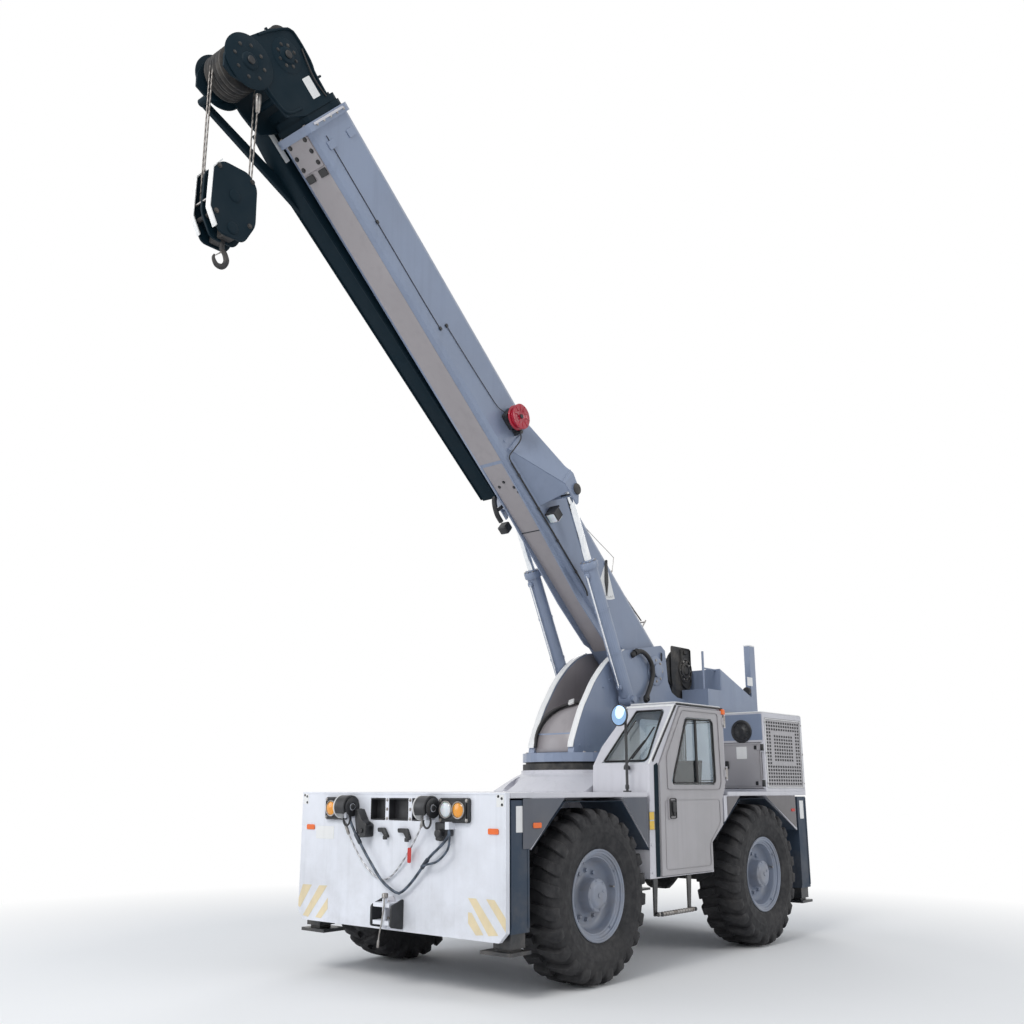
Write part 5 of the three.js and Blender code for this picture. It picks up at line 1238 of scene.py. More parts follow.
# ------------------------------------------------------------------ turntable, winch and counterweight
class CRANE_OT_turntable_dress(bpy.types.Operator):
    """Rolled front cover and cheek inner faces in painted shade, painted highlight strips on the cheek plate
    edges, pivot covers, hoses and bolts of the slewing frame
    """

    bl_idname = "crane.turntable_dress"
    bl_label = "Turntable Dress"

    def execute(self, context):
        body = "superstructure"
        # painted shade: the rolled cover between the cheeks is coloured the warm gray of the shaded turntable
        # front
        arc = smooth_path([(0, -.437, 1.846), (0, -.408, 1.985), (0, -.345, 2.105), (0, -.255, 2.205),
                           (0, -.140, 2.282),
                           (0, .010, 2.330), (0, .250, 2.352), (0, .505, 2.356)], 30)
        sheet = np.concatenate([arc[:, 1:], arc[::-1, 1:] + (.004, -.008)])
        add_piece("front_rolled_cover", along_x(prism(sheet, -.2035, .2035, .002)), body, "warm_shade_gray_paint",
                  50)
        # painted shade: thin warm gray liners on the cheeks' inner faces, which lie in shade
        plate = [(-.455, 1.860), (.540, 1.860), (.545, 2.345), (1.250, 2.345), (1.250, 2.700), (1.222, 2.945),
                 (1.150, 2.995),
                 (.455, 2.877), (.275, 2.803), (.108, 2.692), (-.072, 2.523), (-.182, 2.379), (-.292, 2.226),
                 (-.432, 1.948)]
        liners = [along_x(prism(np.array(plate), *sorted((sign * .2032, sign * .2047)), .0005))
                  for sign in (-1, 1)]
        add_piece("cheek_inner_shade_liners", merged(liners), body, "warm_shade_gray_paint")
        # painted highlight: white strips along the cheeks' front arcs, where the edges catch the light
        edge = smooth_path([(0, -.461, 1.880), (0, -.441, 1.950), (0, -.300, 2.230), (0, -.190, 2.385),
                            (0, -.080, 2.530),
                            (0, .100, 2.700), (0, .270, 2.812), (0, .450, 2.887)], 30)
        out = np.cross(np.gradient(edge, axis=0), (1, 0, 0))
        out /= -np.linalg.norm(out, axis=1, keepdims=True)
        out *= np.sign(out[15, 2])
        strip = np.concatenate([(edge + out * .0006)[:, 1:], (edge + out * .010)[::-1, 1:]])
        strips = [along_x(prism(strip, *sorted((sign * .2055, sign * .2745)), .003)) for sign in (-1, 1)]
        add_piece("cheek_front_edge_highlights", merged(strips), body, "white_paint_and_highlight", 50)
        covers, bolts = [], []
        for sign in (-1, 1):
            x = sign * .2753
            covers.append(turned([(.0, .066), (.0, .150), (.005, .158), (.010, .158), (.014, .150),
                                  (.014, .066)],
                                 (x, 1.019, 2.721), (sign, 0, 0), 40, True))
            covers.append(turned([(.0305, .004), (.0305, .066), (.034, .072), (.042, .072), (.047, .060),
                                  (.047, .004)],
                                 (x, 1.019, 2.721), (sign, 0, 0), 32))
            bolts.append(bolt_heads(ring_of(8, .112, (x + sign * .014, 1.019, 2.721), (sign, 0, 0)),
                                    (sign, 0, 0),
                                    .012, .008))
            eye = along_x(moved(band(rounded(-.032, .032, -.058, .058, .031), .008, .010, .0, .012),
                                (1.136, 2.878, 0)))
            eye = eye if sign > 0 else mirrored(eye)
            covers.append(moved(eye, (x, 0, 0)))
        add_piece("pivot_covers", merged(covers), body, "shaded_boom_blue_paint", 40)
        add_piece("pivot_cover_bolts", merged(bolts), body, "worn_steel")
        eyelet = along_x(moved(prism(rounded(-.022, .022, -.048, .048, .021), .0004, .004, .001),
                               (1.136, 2.878, .2753)))
        hose = pipe(smooth_path([(.278, .570, 2.846), (.300, .612, 2.880), (.322, .700, 2.892),
                                 (.326, .800, 2.852),
                                 (.324, .880, 2.770), (.318, .900, 2.660), (.314, .850, 2.540),
                                 (.330, .760, 2.440),
                                 (.350, .700, 2.375)], 44), .024, 16)
        ends = [turned([(-.012, .026), (-.012, .034), (.030, .034), (.030, .026)], p, a, 16, True)
                for p, a in (((.302, .610, 2.876), (.2, .8, .4)), ((.336, .740, 2.415), (.3, -.5, -.8)))]
        elbow = rod((.2753, .562, 2.838), (.300, .600, 2.866), .030, 16, .006)
        add_piece("slew_hose", merged([hose, eyelet, elbow]), body, "gasket_rubber", 50)
        add_piece("slew_hose_collars", merged(ends), body, "dark_casting", 40)
        hoses = []
        for off in (0.0, .048):
            hoses.append(pipe(smooth_path([(.196, .060 + off, 2.372), (.120, -.020 + off, 2.342 + off * .2),
                                           (.0, -.130 + off, 2.318 + off * .2),
                                           (-.110, -.250 + off, 2.255 + off * .2),
                                           (-.170, -.355 + off, 2.150 + off * .2),
                                           (-.196, -.425 + off * .9, 2.020),
                                           (-.200, -.450 + off * .6, 1.885)], 40), .015, 12))
        add_piece("front_hoses", merged(hoses), body, "gasket_rubber", 50)
        clamp = placed(block(-.030, .030, -.060, .060, -.004, .020, .01, .004), (.0, -.110, 2.330),
                       (.72, .62, .30),
                       (-.5, .78, .36))
        add_piece("hose_clamp", clamp, body, "white_paint_and_highlight", 40)
        ring = np.arange(30) * 2 * math.pi / 30
        heads = np.column_stack([.520 * np.cos(ring), .520 * np.sin(ring), np.full(30, 1.8302)])
        keep = np.abs(heads[:, 0]) > .29
        add_piece("slew_bolts", bolt_heads(heads[keep], (0, 0, 1), .014, .012), body, "worn_steel")
        rows = np.array([(.2754, y, z) for y, z in ((-.360, 1.900), (-.200, 1.900), (.0, 1.900), (.2, 1.900),
                                                    (.4, 1.900),
                                                    (.050, 2.480), (.160, 2.560), (.620, 2.420),
                                                    (.700, 2.420))])
        add_piece("cheek_bolts", merged([bolt_heads(rows, (1, 0, 0), .012, .008),
                                         bolt_heads(rows * (-1, 1, 1), (-1, 0, 0), .012, .008)]), body,
                  "shaded_boom_blue_paint")
        return {"FINISHED"}


class CRANE_OT_winch_dress(bpy.types.Operator):
    """U-shaped winch housing, wound rope on the drum, motor and fittings"""

    bl_idname = "crane.winch_dress"
    bl_label = "Winch Dress"

    def execute(self, context):
        body, y, z = "superstructure", 1.625, 2.785
        outline = [(1.462, 3.045), (1.462, 2.680), (1.478, 2.610), (1.520, 2.565), (1.590, 2.548),
                   (1.760, 2.552),
                   (1.840, 2.580), (1.880, 2.640), (1.884, 3.045)]
        sides = [along_x(prism(softened(outline, .03, 3), *sorted((sign * .2024, sign * .2045)), .0006))
                 for sign in (-1, 1)]
        rims = [along_x(band(softened([(1.649, 3.040), (1.649, 2.620), (1.760, 2.566), (1.836, 2.594),
                                       (1.872, 2.650),
                                       (1.872, 3.040)], .03, 3), .008, .012, .205, .222))]
        rims.append(mirrored(rims[0]))
        face = [turned([(.0, .060), (.0, .085), (.012, .090), (.016, .075), (.016, .060)],
                       (.205, 1.755, 2.790),
                       (1, 0, 0), 36, True),
                turned([(.0, .118), (.0, .135), (.010, .137), (.013, .128), (.013, .118)],
                       (.205, 1.755, 2.790),
                       (1, 0, 0), 40, True),
                rod((.205, 1.755, 2.790), (.223, 1.755, 2.790), .050, 28, .008),
                placed(block(-.03, .03, -.02, .02, .0, .017, .008, .004), (.205, 1.760, 2.990), (0, 1, 0),
                       (0, 0, 1))]
        add_piece("winch_housing", merged(sides + rims + face), body, "dark_casting", 40)
        marks = bolt_heads(ring_of(10, .104, (.205, 1.755, 2.790), (1, 0, 0)), (1, 0, 0), .009, .010)
        add_piece("winch_bolts", marks, body, "worn_steel")
        t = np.linspace(0, 2 * math.pi * 21, 21 * 26)
        helix = np.column_stack([-.158 + .316 * t / t[-1], y + .141 * np.cos(t), z + .141 * np.sin(t)])
        rope_piece("winch_rope_layer", helix, .0078, body, "greased_rope", sides=8)
        fittings = [pipe(smooth_path([(.0, 1.880, 2.660), (.05, 1.930, 2.700), (.11, 1.900, 2.830),
                                      (.12, 1.850, 2.900)],
                                     18), .016, 10),
                    block(-.07, .07, 1.812, 1.884, 2.560, 2.640, .01, .006),
                    rod((.12, 1.838, 2.905), (.12, 1.838, 2.975), .030, 16, .006)]
        add_piece("winch_fittings", merged(fittings), body, "satin_black", 40)
        # counterweight: bright post tags, lifting eyes and edge welds
        w = .550
        post = block(w - .073, w + .003, 2.647, 2.783, 3.128, 3.143, .004, .003)
        eyes = [turned([(-.012, .030), (-.012, .052), (.012, .052), (.012, .030)], (s * .35, 2.02, 2.775),
                       (1, 0, 0), 24,
                       True) for s in (-1, 1)]
        add_piece("counterweight_post_cap", post, body, "white_paint_and_highlight")
        add_piece("counterweight_eyes", merged(eyes), body, "shaded_boom_blue_paint", 40)
        seam = [on_side(slab([(1.70, 2.352), (2.700, 2.352), (2.700, 2.364), (1.70, 2.364)], .0004, .003,
                             .004, .001), w),
                on_side(slab([(1.94, 2.560), (1.952, 2.560), (1.952, 2.770), (1.94, 2.778)], .0004, .003,
                             .003, .001), w)]
        label = on_side(prism(rounded(2.560, 2.690, 2.660, 2.760, .006), .0004, .0022, .0008), w)
        add_piece("counterweight_seams", merged(seam), body, "shaded_boom_blue_paint")
        add_piece("counterweight_blank_plate", label, body, "white_paint_and_highlight")
        lamp = turned([(.0, .012), (.0, .030), (.012, .042), (.052, .046), (.060, .040), (.060, .012)],
                      (w - .035, 2.645, 2.60), (0, -1, 0), 28)
        add_piece("counterweight_lamp", lamp, body, "dark_casting", 40)
        return {"FINISHED"}


# ------------------------------------------------------------------ boom
class CRANE_OT_boom_dress(bpy.types.Operator):
    """Underside skin in painted shade, reel, hoses, work lamps, angle indicator, line guides and end plate bolts
    of the boom
    """

    bl_idname = "crane.boom_dress"
    bl_label = "Boom Dress"

    def execute(self, context):
        body = "boom"
        # painted shade: a thin warm gray skin over the boom's shaded underside
        under = [on_boom(moved(prism(rounded(s0, s1, -.0018, -.0004, .0006, 1), -w, w, .0003),
                               (0, BOOM_LOW, 0)))
                 for s0, s1, w in ((.54, 2.128, .120), (2.142, 2.94, .120), (2.975, 6.27, .133))]
        add_piece("boom_underside_shade_skin", merged(under), body, "warm_shade_gray_paint")
        seam = on_boom(moved(prism(rounded(2.129, 2.141, -.003, -.0004, .001, 1), -.126, .126, .0004),
                             (0, BOOM_LOW, 0)))
        stud = bolt_heads(boom_point(np.array([-.06, .02, .10, .12]), np.array([2.70, 2.74, 2.66, 2.60]),
                                     BOOM_LOW - .002),
                          -ACROSS, .012, .008)
        add_piece("boom_seam", merged([seam, stud]), body, "satin_black")

        # reel: black bracket and back plate, red disc with a ribbed face
        s0, p0 = 3.205, .097
        x = BOOM_HALF + .0004
        bracket = merged([on_boom(prism(rounded(-.085, .085, -.078, .078, .02), .0, .062, .006), x, s0 + .01,
                                  p0),
                          on_boom(prism(circle(.078, 32), .060, .084, .006), x, s0, p0),
                          on_boom(prism(rounded(-.160, -.085, -.050, .018, .012), .0, .050, .006), x, s0, p0),
                          rod(boom_point(.21, s0 - .13, p0 - .04), boom_point(.30, s0 - .13, p0 - .05), .020,
                              16, .005)])
        add_piece("reel_bracket", bracket, body, "satin_black", 40, ("cable_reel",))
        t = [(.085, .020), (.085, .116), (.091, .1225), (.100, .1235), (.106, .118), (.110, .098),
             (.136, .098),
             (.140, .118), (.146, .1235), (.156, .1235), (.1585, .118), (.1585, .062), (.152, .056),
             (.152, .024)]
        disc = turned(t, boom_point(x, s0, p0), (1, 0, 0), 64)
        ribs = merged([placed(block(-.030, .030, -.0045, .0045, .0, .006, .002, .002),
                              boom_point(x + .1575, s0, p0) + (math.cos(a) * ALONG + math.sin(a) * ACROSS)
                              * .088,
                              math.cos(a) * ALONG + math.sin(a) * ACROSS,
                              -math.sin(a) * ALONG + math.cos(a) * ACROSS,
                              (1, 0, 0)) for a in np.arange(10) * math.pi / 5])
        add_piece("reel_disc", merged([disc, ribs]), body, "red_gloss", 50)
        add_piece("reel_hub", merged([rod(boom_point(x + .152, s0, p0), boom_point(x + .164, s0, p0), .022,
                                          20, .004)]),
                  body, "satin_black", 40)

        def along(points, count, radius, sides=10):
            return pipe(smooth_path([boom_point(*q) for q in points], count), radius, sides)

        lines = [along([(.300, 3.100, .030), (.292, 3.030, -.020), (.245, 2.995, -.110), (.206, 2.965, -.190),
                        (.1985, 2.880, -.205)], 26, .006, 8),
                 along([(.1985, 2.900, -.202), (.1990, 2.600, -.200), (.1990, 2.300, -.200),
                        (.1990, 2.000, -.198),
                        (.1990, 1.700, -.200), (.1990, 1.500, -.200), (.1985, 1.330, -.208),
                        (.188, 1.260, -.226)],
                       44, .0085, 10),
                 along([(.1950, 6.200, -.105), (.1945, 6.0, -.1055), (.1945, 5.2, -.106), (.1945, 4.6, -.105),
                        (.1950, 4.309, -.100)], 30, .0035, 8),
                 along([(.1970, 4.309, -.006), (.1965, 4.0, .006), (.1965, 3.6, .026), (.2000, 3.392, .040),
                        (.230, 3.300, .060)], 30, .0035, 8)]
        add_piece("boom_cables", merged(lines), body, "gasket_rubber", 50)
        clips = [on_boom(prism(rounded(-.016, .016, -.015, .015, .006), .0002, .016, .003), BOOM_HALF, s, p)
                 for s, p in [(q, -.200) for q in (2.75, 2.35, 1.95, 1.55)]
                 + [(4.309, -.006), (4.330, -.100), (5.40, -.106)]]
        add_piece("boom_cable_clips", merged(clips), body, "satin_black")

        # work lamp by the cylinder head, and the long-armed lamp at the jib's end
        lamp = on_boom(prism(rounded(-.055, .055, -.060, .060, .014), .010, .110, .010), BOOM_HALF, 2.190,
                       -.100)
        hood = on_boom(prism(rounded(.045, .062, -.066, .066, .006), .002, .118, .004), BOOM_HALF, 2.190,
                       -.100)
        foot = on_boom(prism(rounded(-.020, .020, -.030, .030, .008), .0004, .012, .003), BOOM_HALF, 2.200,
                       -.090)
        pane = placed(prism(rounded(-.046, .046, -.040, .040, .010), .0, .006, .002),
                      boom_point(BOOM_HALF + .060, 2.1345, -.100), ACROSS, (1, 0, 0), -ALONG)
        pane2 = placed(prism(rounded(-.046, .046, -.044, .044, .010), .0, .005, .002),
                       boom_point(BOOM_HALF + .060, 2.190, -.1605), ALONG, (1, 0, 0), -ACROSS)
        arm = merged([along([(-.235, 2.585, -.150), (-.245, 2.540, -.215), (-.255, 2.430, -.262),
                             (-.262, 2.330, -.262)],
                            18, .026, 12),
                      placed(prism(rounded(-.050, .050, -.050, .050, .012), -.03, .055, .008),
                             boom_point(-.262, 2.262, -.262), (1, 0, 0), ACROSS, -ALONG),
                      rod(boom_point(-.19 - .0004, 2.45, -.12), boom_point(-.245, 2.45, -.235), .018, 12,
                          .004)])
        pane3 = placed(prism(rounded(-.040, .040, -.040, .040, .010), .055, .060, .002),
                       boom_point(-.262, 2.262, -.262), (1, 0, 0), ACROSS, -ALONG)
        add_piece("boom_lamp_bodies", merged([lamp, hood, foot, arm]), body, "satin_black", 40)
        add_piece("boom_lamp_panes", merged([pane, pane2, pane3]), body, "white_lens", 40)

        # angle indicator: white sector, degree ticks, black pendulum
        apex = np.array([1.290, .300])
        a = np.linspace(math.radians(206), math.radians(255), 16)
        sector = np.concatenate([[apex], apex + .405 * np.column_stack([np.cos(a), np.sin(a)])])
        sector[:, 1] = np.minimum(sector[:, 1], .300)
        low = placed(prism(sector, .0006, .0022, .0006), boom_point(BOOM_HALF, 0, 0), ALONG, ACROSS,
                     (1, 0, 0))
        add_piece("angle_plate", low, body, "white_paint_and_highlight")
        ticks = [placed(prism(rounded(-.014 if k % 2 else -.022, .0, -.0022, .0022, .001, 1), .0023, .0030,
                              .0003),
                        boom_point(BOOM_HALF, *(apex + .385 * np.array([math.cos(q), math.sin(q)]))),
                        math.cos(q) * ALONG + math.sin(q) * ACROSS,
                        -math.sin(q) * ALONG + math.cos(q) * ACROSS,
                        (1, 0, 0)) for k, q in enumerate(np.linspace(math.radians(210), math.radians(251),
                                                                     13))]
        down = np.array([-math.sin(LUFF), -math.cos(LUFF)])
        side = np.array([-down[1], down[0]])
        needle = np.array([apex - side * .020, apex + side * .020, apex + down * .22 + side * .030,
                           apex + down * .370, apex + down * .22 - side * .030])
        ticks.append(placed(prism(needle, .006, .013, .002), boom_point(BOOM_HALF, 0, 0), ALONG, ACROSS,
                            (1, 0, 0)))
        ticks.append(rod(boom_point(BOOM_HALF + .0006, *apex), boom_point(BOOM_HALF + .020, *apex), .014, 16,
                         .003))
        add_piece("angle_needle", merged(ticks), body, "satin_black")

        # hoist line along the top with its guide posts
        line = smooth_path([boom_point(*q) for q in ((.0, .262, .560), (.0, 1.03, .482), (.0, 1.85, .402),
                                                     (.0, 2.40, .3615),
                                                     (.0, 4.2, .3615), (.0, 6.20, .3620))], 60)
        rope_piece("hoist_line", line, .008, body, "greased_rope", sides=8)
        posts = []
        for s, top in ((.25, .560), (1.03, .482), (2.40, .3615)):
            for x in (-.05, .05):
                posts.append(rod(boom_point(x, s, BOOM_TOP + .0003), boom_point(x, s, top + .012), .008, 10,
                                 .002))
            posts.append(rod(boom_point(-.058, s, top - .0165), boom_point(.058, s, top - .0165), .008, 10,
                             .002))
        posts.append(along([(.052, 1.03, .487), (.056, 1.10, .600), (.056, 1.14, .610), (.054, 1.50, .500),
                            (.052, 1.85, .405)], 30, .0035, 6))
        add_piece("hoist_line_guides", merged(posts), body, "worn_steel", 40)

        end = [boom_point(x, 6.3506, p) for x, p in ((-.150, .315), (-.05, .325), (.05, .325), (.150, .315),
                                                      (-.150, -.235), (.150, -.235))]
        collar_side = [boom_point(.2124, 6.315, p) for p in (-.15, -.05, .05, .15, .25)]
        add_piece("boom_collar_bolts", merged([bolt_heads(np.array(end), ALONG, .012, .008),
                                               bolt_heads(np.array(collar_side), (1, 0, 0), .012, .008)]),
                  body,
                  "worn_steel")
        pads = [on_boom(prism(rounded(-.035, .035, -.05, .05, .012), .0004, .010, .003), BOOM_HALF, s, p)
                for s, p in ((6.12, -.10), (6.12, .20))]
        pads += [mirrored(q) for q in pads]
        add_piece("boom_wear_pad_covers", merged(pads), body, "shaded_boom_blue_paint")
        cheek = [boom_point(.2124 - .02, s, p) for s, p in ((3.10, .24), (3.10, -.12))]
        add_piece("boom_side_bolts", bolt_heads(np.array(cheek), (1, 0, 0), .012, .008), body, "shaded_boom_blue_paint")
        return {"FINISHED"}


class CRANE_OT_cylinder_dress(bpy.types.Operator):
    """Gland rings, ports, feed tubes and eye caps of the two lift cylinders"""

    bl_idname = "crane.cylinder_dress"
    bl_label = "Lift Cylinder Dress"

    def execute(self, context):
        for side, sign in (("left", 1), ("right", -1)):
            foot = np.array([sign * .36, .350, 2.372])
            head = boom_point(sign * .36, 2.294, .127)
            axis = (head - foot) / np.linalg.norm(head - foot)
            front = np.cross(axis, (1, 0, 0))
            front *= -np.sign(front[1])
            top = foot + axis * 1.464
            gland = [turned([(-.072, .0785), (-.072, .086), (-.060, .090), (-.014, .090), (-.004, .084),
                             (-.004, .0785)],
                            top, axis, 40, True),
                     turned([(.0004, .041), (.0004, .066), (.008, .068), (.014, .060), (.014, .041)], top,
                            axis, 36, True)]
            ports = [placed(block(-.020, .020, -.022, .022, .070, .098, .006, .004), foot + axis * t,
                            (1, 0, 0), axis)
                     for t in ()]
            across = np.array([sign, 0, 0.0])
            for t in (.16, 1.34):
                ports.append(placed(block(-.022, .022, -.026, .026, .068, .100, .008, .005), foot + axis * t,
                                    axis,
                                    np.cross(front, axis), front))
            tube_at = front * .090
            tube = pipe(smooth_path([foot + axis * .16 + front * .094, foot + axis * .22 + tube_at,
                                     foot + axis * .7 + tube_at, foot + axis * 1.28 + tube_at,
                                     foot + axis * 1.34 + front * .094], 30), .009, 10)
            straps = [turned([(-.010, .0724), (-.010, .077), (.010, .077), (.010, .0724)], foot + axis * t,
                             axis, 32, True)
                      for t in (.50, .95)]
            body = f"lift_{side}_barrel"
            add_piece(f"lift_{side}_gland", merged(gland + ports + straps), body, "shaded_boom_blue_paint",
                      40)
            add_piece(f"lift_{side}_feed_tube", tube, body, "bright_chrome", 50)
            bolts = bolt_heads(ring_of(8, .077, top + axis * .0006, axis), axis, .008, .007)
            add_piece(f"lift_{side}_gland_bolts", bolts, body, "worn_steel")
            cap = turned([(.0, .004), (.0, .052), (.006, .058), (.012, .054), (.014, .040), (.014, .004)],
                         head + across * .1083, across, 32)
            add_piece(f"lift_{side}_head_cap", cap, "boom", "dark_casting", 40)
        return {"FINISHED"}


# ------------------------------------------------------------------ boom nose, jib, falls, block and hook
NOSE_FACE_X = .190


def tapered(path, radii, sides=16):
    """Tube along a path whose radius changes from point to point."""
    side, up = path_frames(path)
    t = np.arange(sides) * 2 * math.pi / sides
    rings = path[:, None] + np.asarray(radii)[:, None, None] * (side[:, None] * np.cos(t)[None, :, None]
                                                                + up[:, None] * np.sin(t)[None, :, None])
    return skin(rings)


class CRANE_OT_nose_dress(bpy.types.Operator):
    """Round cheek plates, pins, tie rods, end plates and blank labels of the boom nose"""

    bl_idname = "crane.nose_dress"
    bl_label = "Boom Nose Dress"

    def execute(self, context):
        body = "tip_section"
        navy, steel, pale = [], [], []
        for sign in (-1, 1):
            x = sign * (NOSE_FACE_X - .0008)
            for s, p, r, thick in ((6.950, -.457, .226, .016), (6.867, -.022, .150, .008)):
                navy.append(turned([(.0, .004), (.0, r - .012), (.004, r), (thick - .004, r),
                                    (thick, r - .008),
                                    (thick, .075), (thick + .008, .070), (thick + .014, .060),
                                    (thick + .014, .004)],
                                   boom_point(x, s, p), (sign, 0, 0), 56))
                steel.append(bolt_heads(ring_of(8, r * .62, boom_point(x + sign * thick, s, p), (sign, 0, 0)),
                                        (sign, 0, 0), .012, .008))
                steel.append(rod(boom_point(x + sign * (thick + .014), s, p),
                                 boom_point(x + sign * (thick + .030), s, p),
                                 .034, 24, .006))
            edge = [(6.47, .165), (6.66, .172), (6.75, .200), (6.94, .205), (7.035, .165), (7.080, -.045),
                    (7.095, -.20)]
            path = smooth_path([boom_point(x + sign * .006, s, p) for s, p in edge], 24)
            navy.append(pipe(path, .011, 8))
            low = smooth_path([boom_point(x + sign * .006, s, p) for s, p in ((6.47, -.20), (6.50, -.380),
                                                                              (6.64, -.430), (6.73, -.435))],
                              18)
            navy.append(pipe(low, .011, 8))
        add_piece("nose_cheek_discs", merged(navy), body, "dark_blue_green_paint", 40)
        add_piece("nose_bolts", merged(steel), body, "dark_casting")
        tie = rod(boom_point(.135, 7.105, -.300), boom_point(.135, 7.100, -.010), .011, 12, .003)
        add_piece("nose_tie_rod", tie, body, "white_paint_and_highlight", 40)
        lugs = [rod(boom_point(.135, 7.05, p), boom_point(.135, 7.125, p), .014, 12, .004)
                for p in (-.300, -.010)]
        post = [rod(boom_point(x, s, .150), boom_point(x, s, p), .010, 12, .003)
                for x, s, p in ((-.13, 6.62, .300), (.13, 6.62, .300))]
        pins = [rod(boom_point(.05, s, .170), boom_point(.05, s, .335), .013, 14, .004) for s in (6.50, 6.56)]
        bar = rod(boom_point(-.14, 6.62, .285), boom_point(.14, 6.62, .285), .010, 12, .003)
        add_piece("nose_rope_guards", merged(lugs + post + pins + [bar]), body, "dark_blue_green_paint",
                  40)
        sheave = turned([(-.023, .020), (-.023, .118), (-.0225, .130), (-.016, .133), (-.006, .117),
                         (.006, .117),
                         (.016, .133), (.0225, .130), (.023, .118), (.023, .020)], boom_point(0, 7.000, .230),
                        (1, 0, 0), 48)
        add_piece("nose_top_sheave", sheave, body, "dark_casting", 40)
        pale.append(on_boom(prism(rounded(-.088, .088, -.052, .052, .008), .0004, .0022, .0008), .1722, 6.575,
                            .045))
        add_piece("nose_blank_label", merged([moved(pale[0], (NOSE_FACE_X - .1722, 0, 0))]), body,
                  "white_paint_and_highlight")
        wires = pipe(smooth_path([boom_point(*q) for q in ((.196, 6.46, .150), (.204, 6.60, .120),
                                                           (.206, 6.72, .135),
                                                           (.200, 6.86, .180))], 22), .007, 8)
        add_piece("nose_cable", wires, body, "gasket_rubber", 50)
        # end plate below the base section, in the warm gray of painted shade, with six bolts and two dark pads
        plate = on_boom(moved(prism(rounded(6.015, 6.300, -.012, -.0022, .003, 1), -.128, .128, .004),
                              (0, BOOM_LOW - .0004, 0)))
        add_piece("boom_end_plate", plate, "boom", "warm_shade_gray_paint")
        bolts = [boom_point(x, s, BOOM_LOW - .0125) for x in (-.095, .095) for s in (6.06, 6.16, 6.26)]
        add_piece("boom_end_plate_bolts", bolt_heads(np.array(bolts), -ACROSS, .016, .011), "boom",
                  "dark_casting")
        pads = [on_boom(moved(prism(rounded(5.935, 6.000, -.016, -.0022, .004, 1), x - .045, x + .045, .004),
                              (0, BOOM_LOW, 0))) for x in (-.080, .080)]
        add_piece("boom_end_pads", merged(pads), "boom", "satin_black")
        lip = on_boom(moved(prism(rounded(-.010, .010, -.19, .25, .004, 1), .0004, .009, .002), (0, 0, 0)),
                      BOOM_HALF + .0225, 6.325, .0)
        add_piece("boom_collar_lip", lip, "boom", "light_gray_paint")
        return {"FINISHED"}


class CRANE_OT_jib(bpy.types.Operator):
    """Tapered box jib with flanged edges, brackets, fork prongs with rounded ends and blank labels"""

    bl_idname = "crane.jib"
    bl_label = "Stowed Jib"

    def execute(self, context):
        body, inner, outer = "boom", -.215, -.405

        def section(s, low, high, r=.022):
            ring = rounded(outer, inner, low, high, r, 3)
            return boom_point(ring[:, 0], s, ring[:, 1])

        stations = [(2.562, -.186, .008), (2.566, -.190, .012), (3.6, -.218, .0205), (4.7, -.248, .030),
                    (5.900, -.283, .040),
                    (6.200, -.292, .006), (6.496, -.262, -.120), (6.500, -.256, -.126)]
        rings = [section(*q) for q in stations]
        beam = skin(rings)
        flanges = []
        for p0, p1 in ((-.190, -.283), (.012, .040)):
            for x in (outer + .004, inner - .004):
                flanges.append(rod(boom_point(x, 2.58, p0), boom_point(x, 5.88, p1), .009, 8, .003))
        arms = []
        for s0, p0, s1, p1 in ((5.70, -.02, 6.930, -.060), (5.70, -.200, 6.900, -.560)):
            x = outer + .030
            a, b = np.array([s0, p0]), np.array([s1, p1])
            d = (b - a) / np.linalg.norm(b - a)
            n = np.array([-d[1], d[0]])
            poly = [a - n * .058, a + n * .058, b + n * .030, b + d * .030 + n * .018,
                    b + d * .030 - n * .018, b - n * .030]
            arms.append(placed(prism(softened(poly, .02, 3), -.022, .022, .006), boom_point(x, 0, 0), ALONG,
                               ACROSS,
                               (1, 0, 0)))
            arms.append(rod(boom_point(x - .029, *b), boom_point(x + .10, *b), .034, 24, .008))
        web = placed(prism(softened([(5.89, .0), (5.93, -.06), (6.12, -.09), (6.30, -.150), (6.12, -.300),
                                     (5.93, -.310),
                                     (5.86, -.255)], .03, 3), -.008, .008, .002),
                     boom_point(outer + .030, 0, 0), ALONG,
                     ACROSS, (1, 0, 0))
        brackets = []
        for s in (3.300, 5.600):
            brackets.append(on_boom(prism(rounded(-.062, .062, -.092, .022, .012), -.2240, -.1904, .003), 0,
                                    s, 0))
            brackets.append(rod(boom_point(-.255, s, .015 + (s - 2.56) * .0084),
                                boom_point(-.255, s, .062 + (s - 2.56) * .0084),
                                .016, 14, .004))
        pin = rod(boom_point(outer + .008, 5.60, -.120), boom_point(outer - .020, 5.60, -.120), .030, 20,
                  .006)
        add_piece("jib_beam", merged([beam] + flanges), body, "dark_blue_green_paint", 40,
                  ("stowed_jib",))
        add_piece("jib_fork", merged(arms + [web, pin]), body, "dark_blue_green_paint", 40)
        add_piece("jib_brackets", merged(brackets), body, "dark_casting")
        label = on_boom(prism(rounded(-.150, .150, -.030, .030, .006), .0004, .0022, .0008), inner, 6.330,
                        -.235)
        add_piece("jib_blank_label", label, body, "white_paint_and_highlight")
        bolts = [boom_point(outer - .0002, s, p) for s in (2.62, 3.30, 5.60, 5.85) for p in (-.120, -.050)]
        add_piece("jib_bolts", bolt_heads(np.array(bolts), (-1, 0, 0), .012, .008), body, "dark_casting")
        return {"FINISHED"}


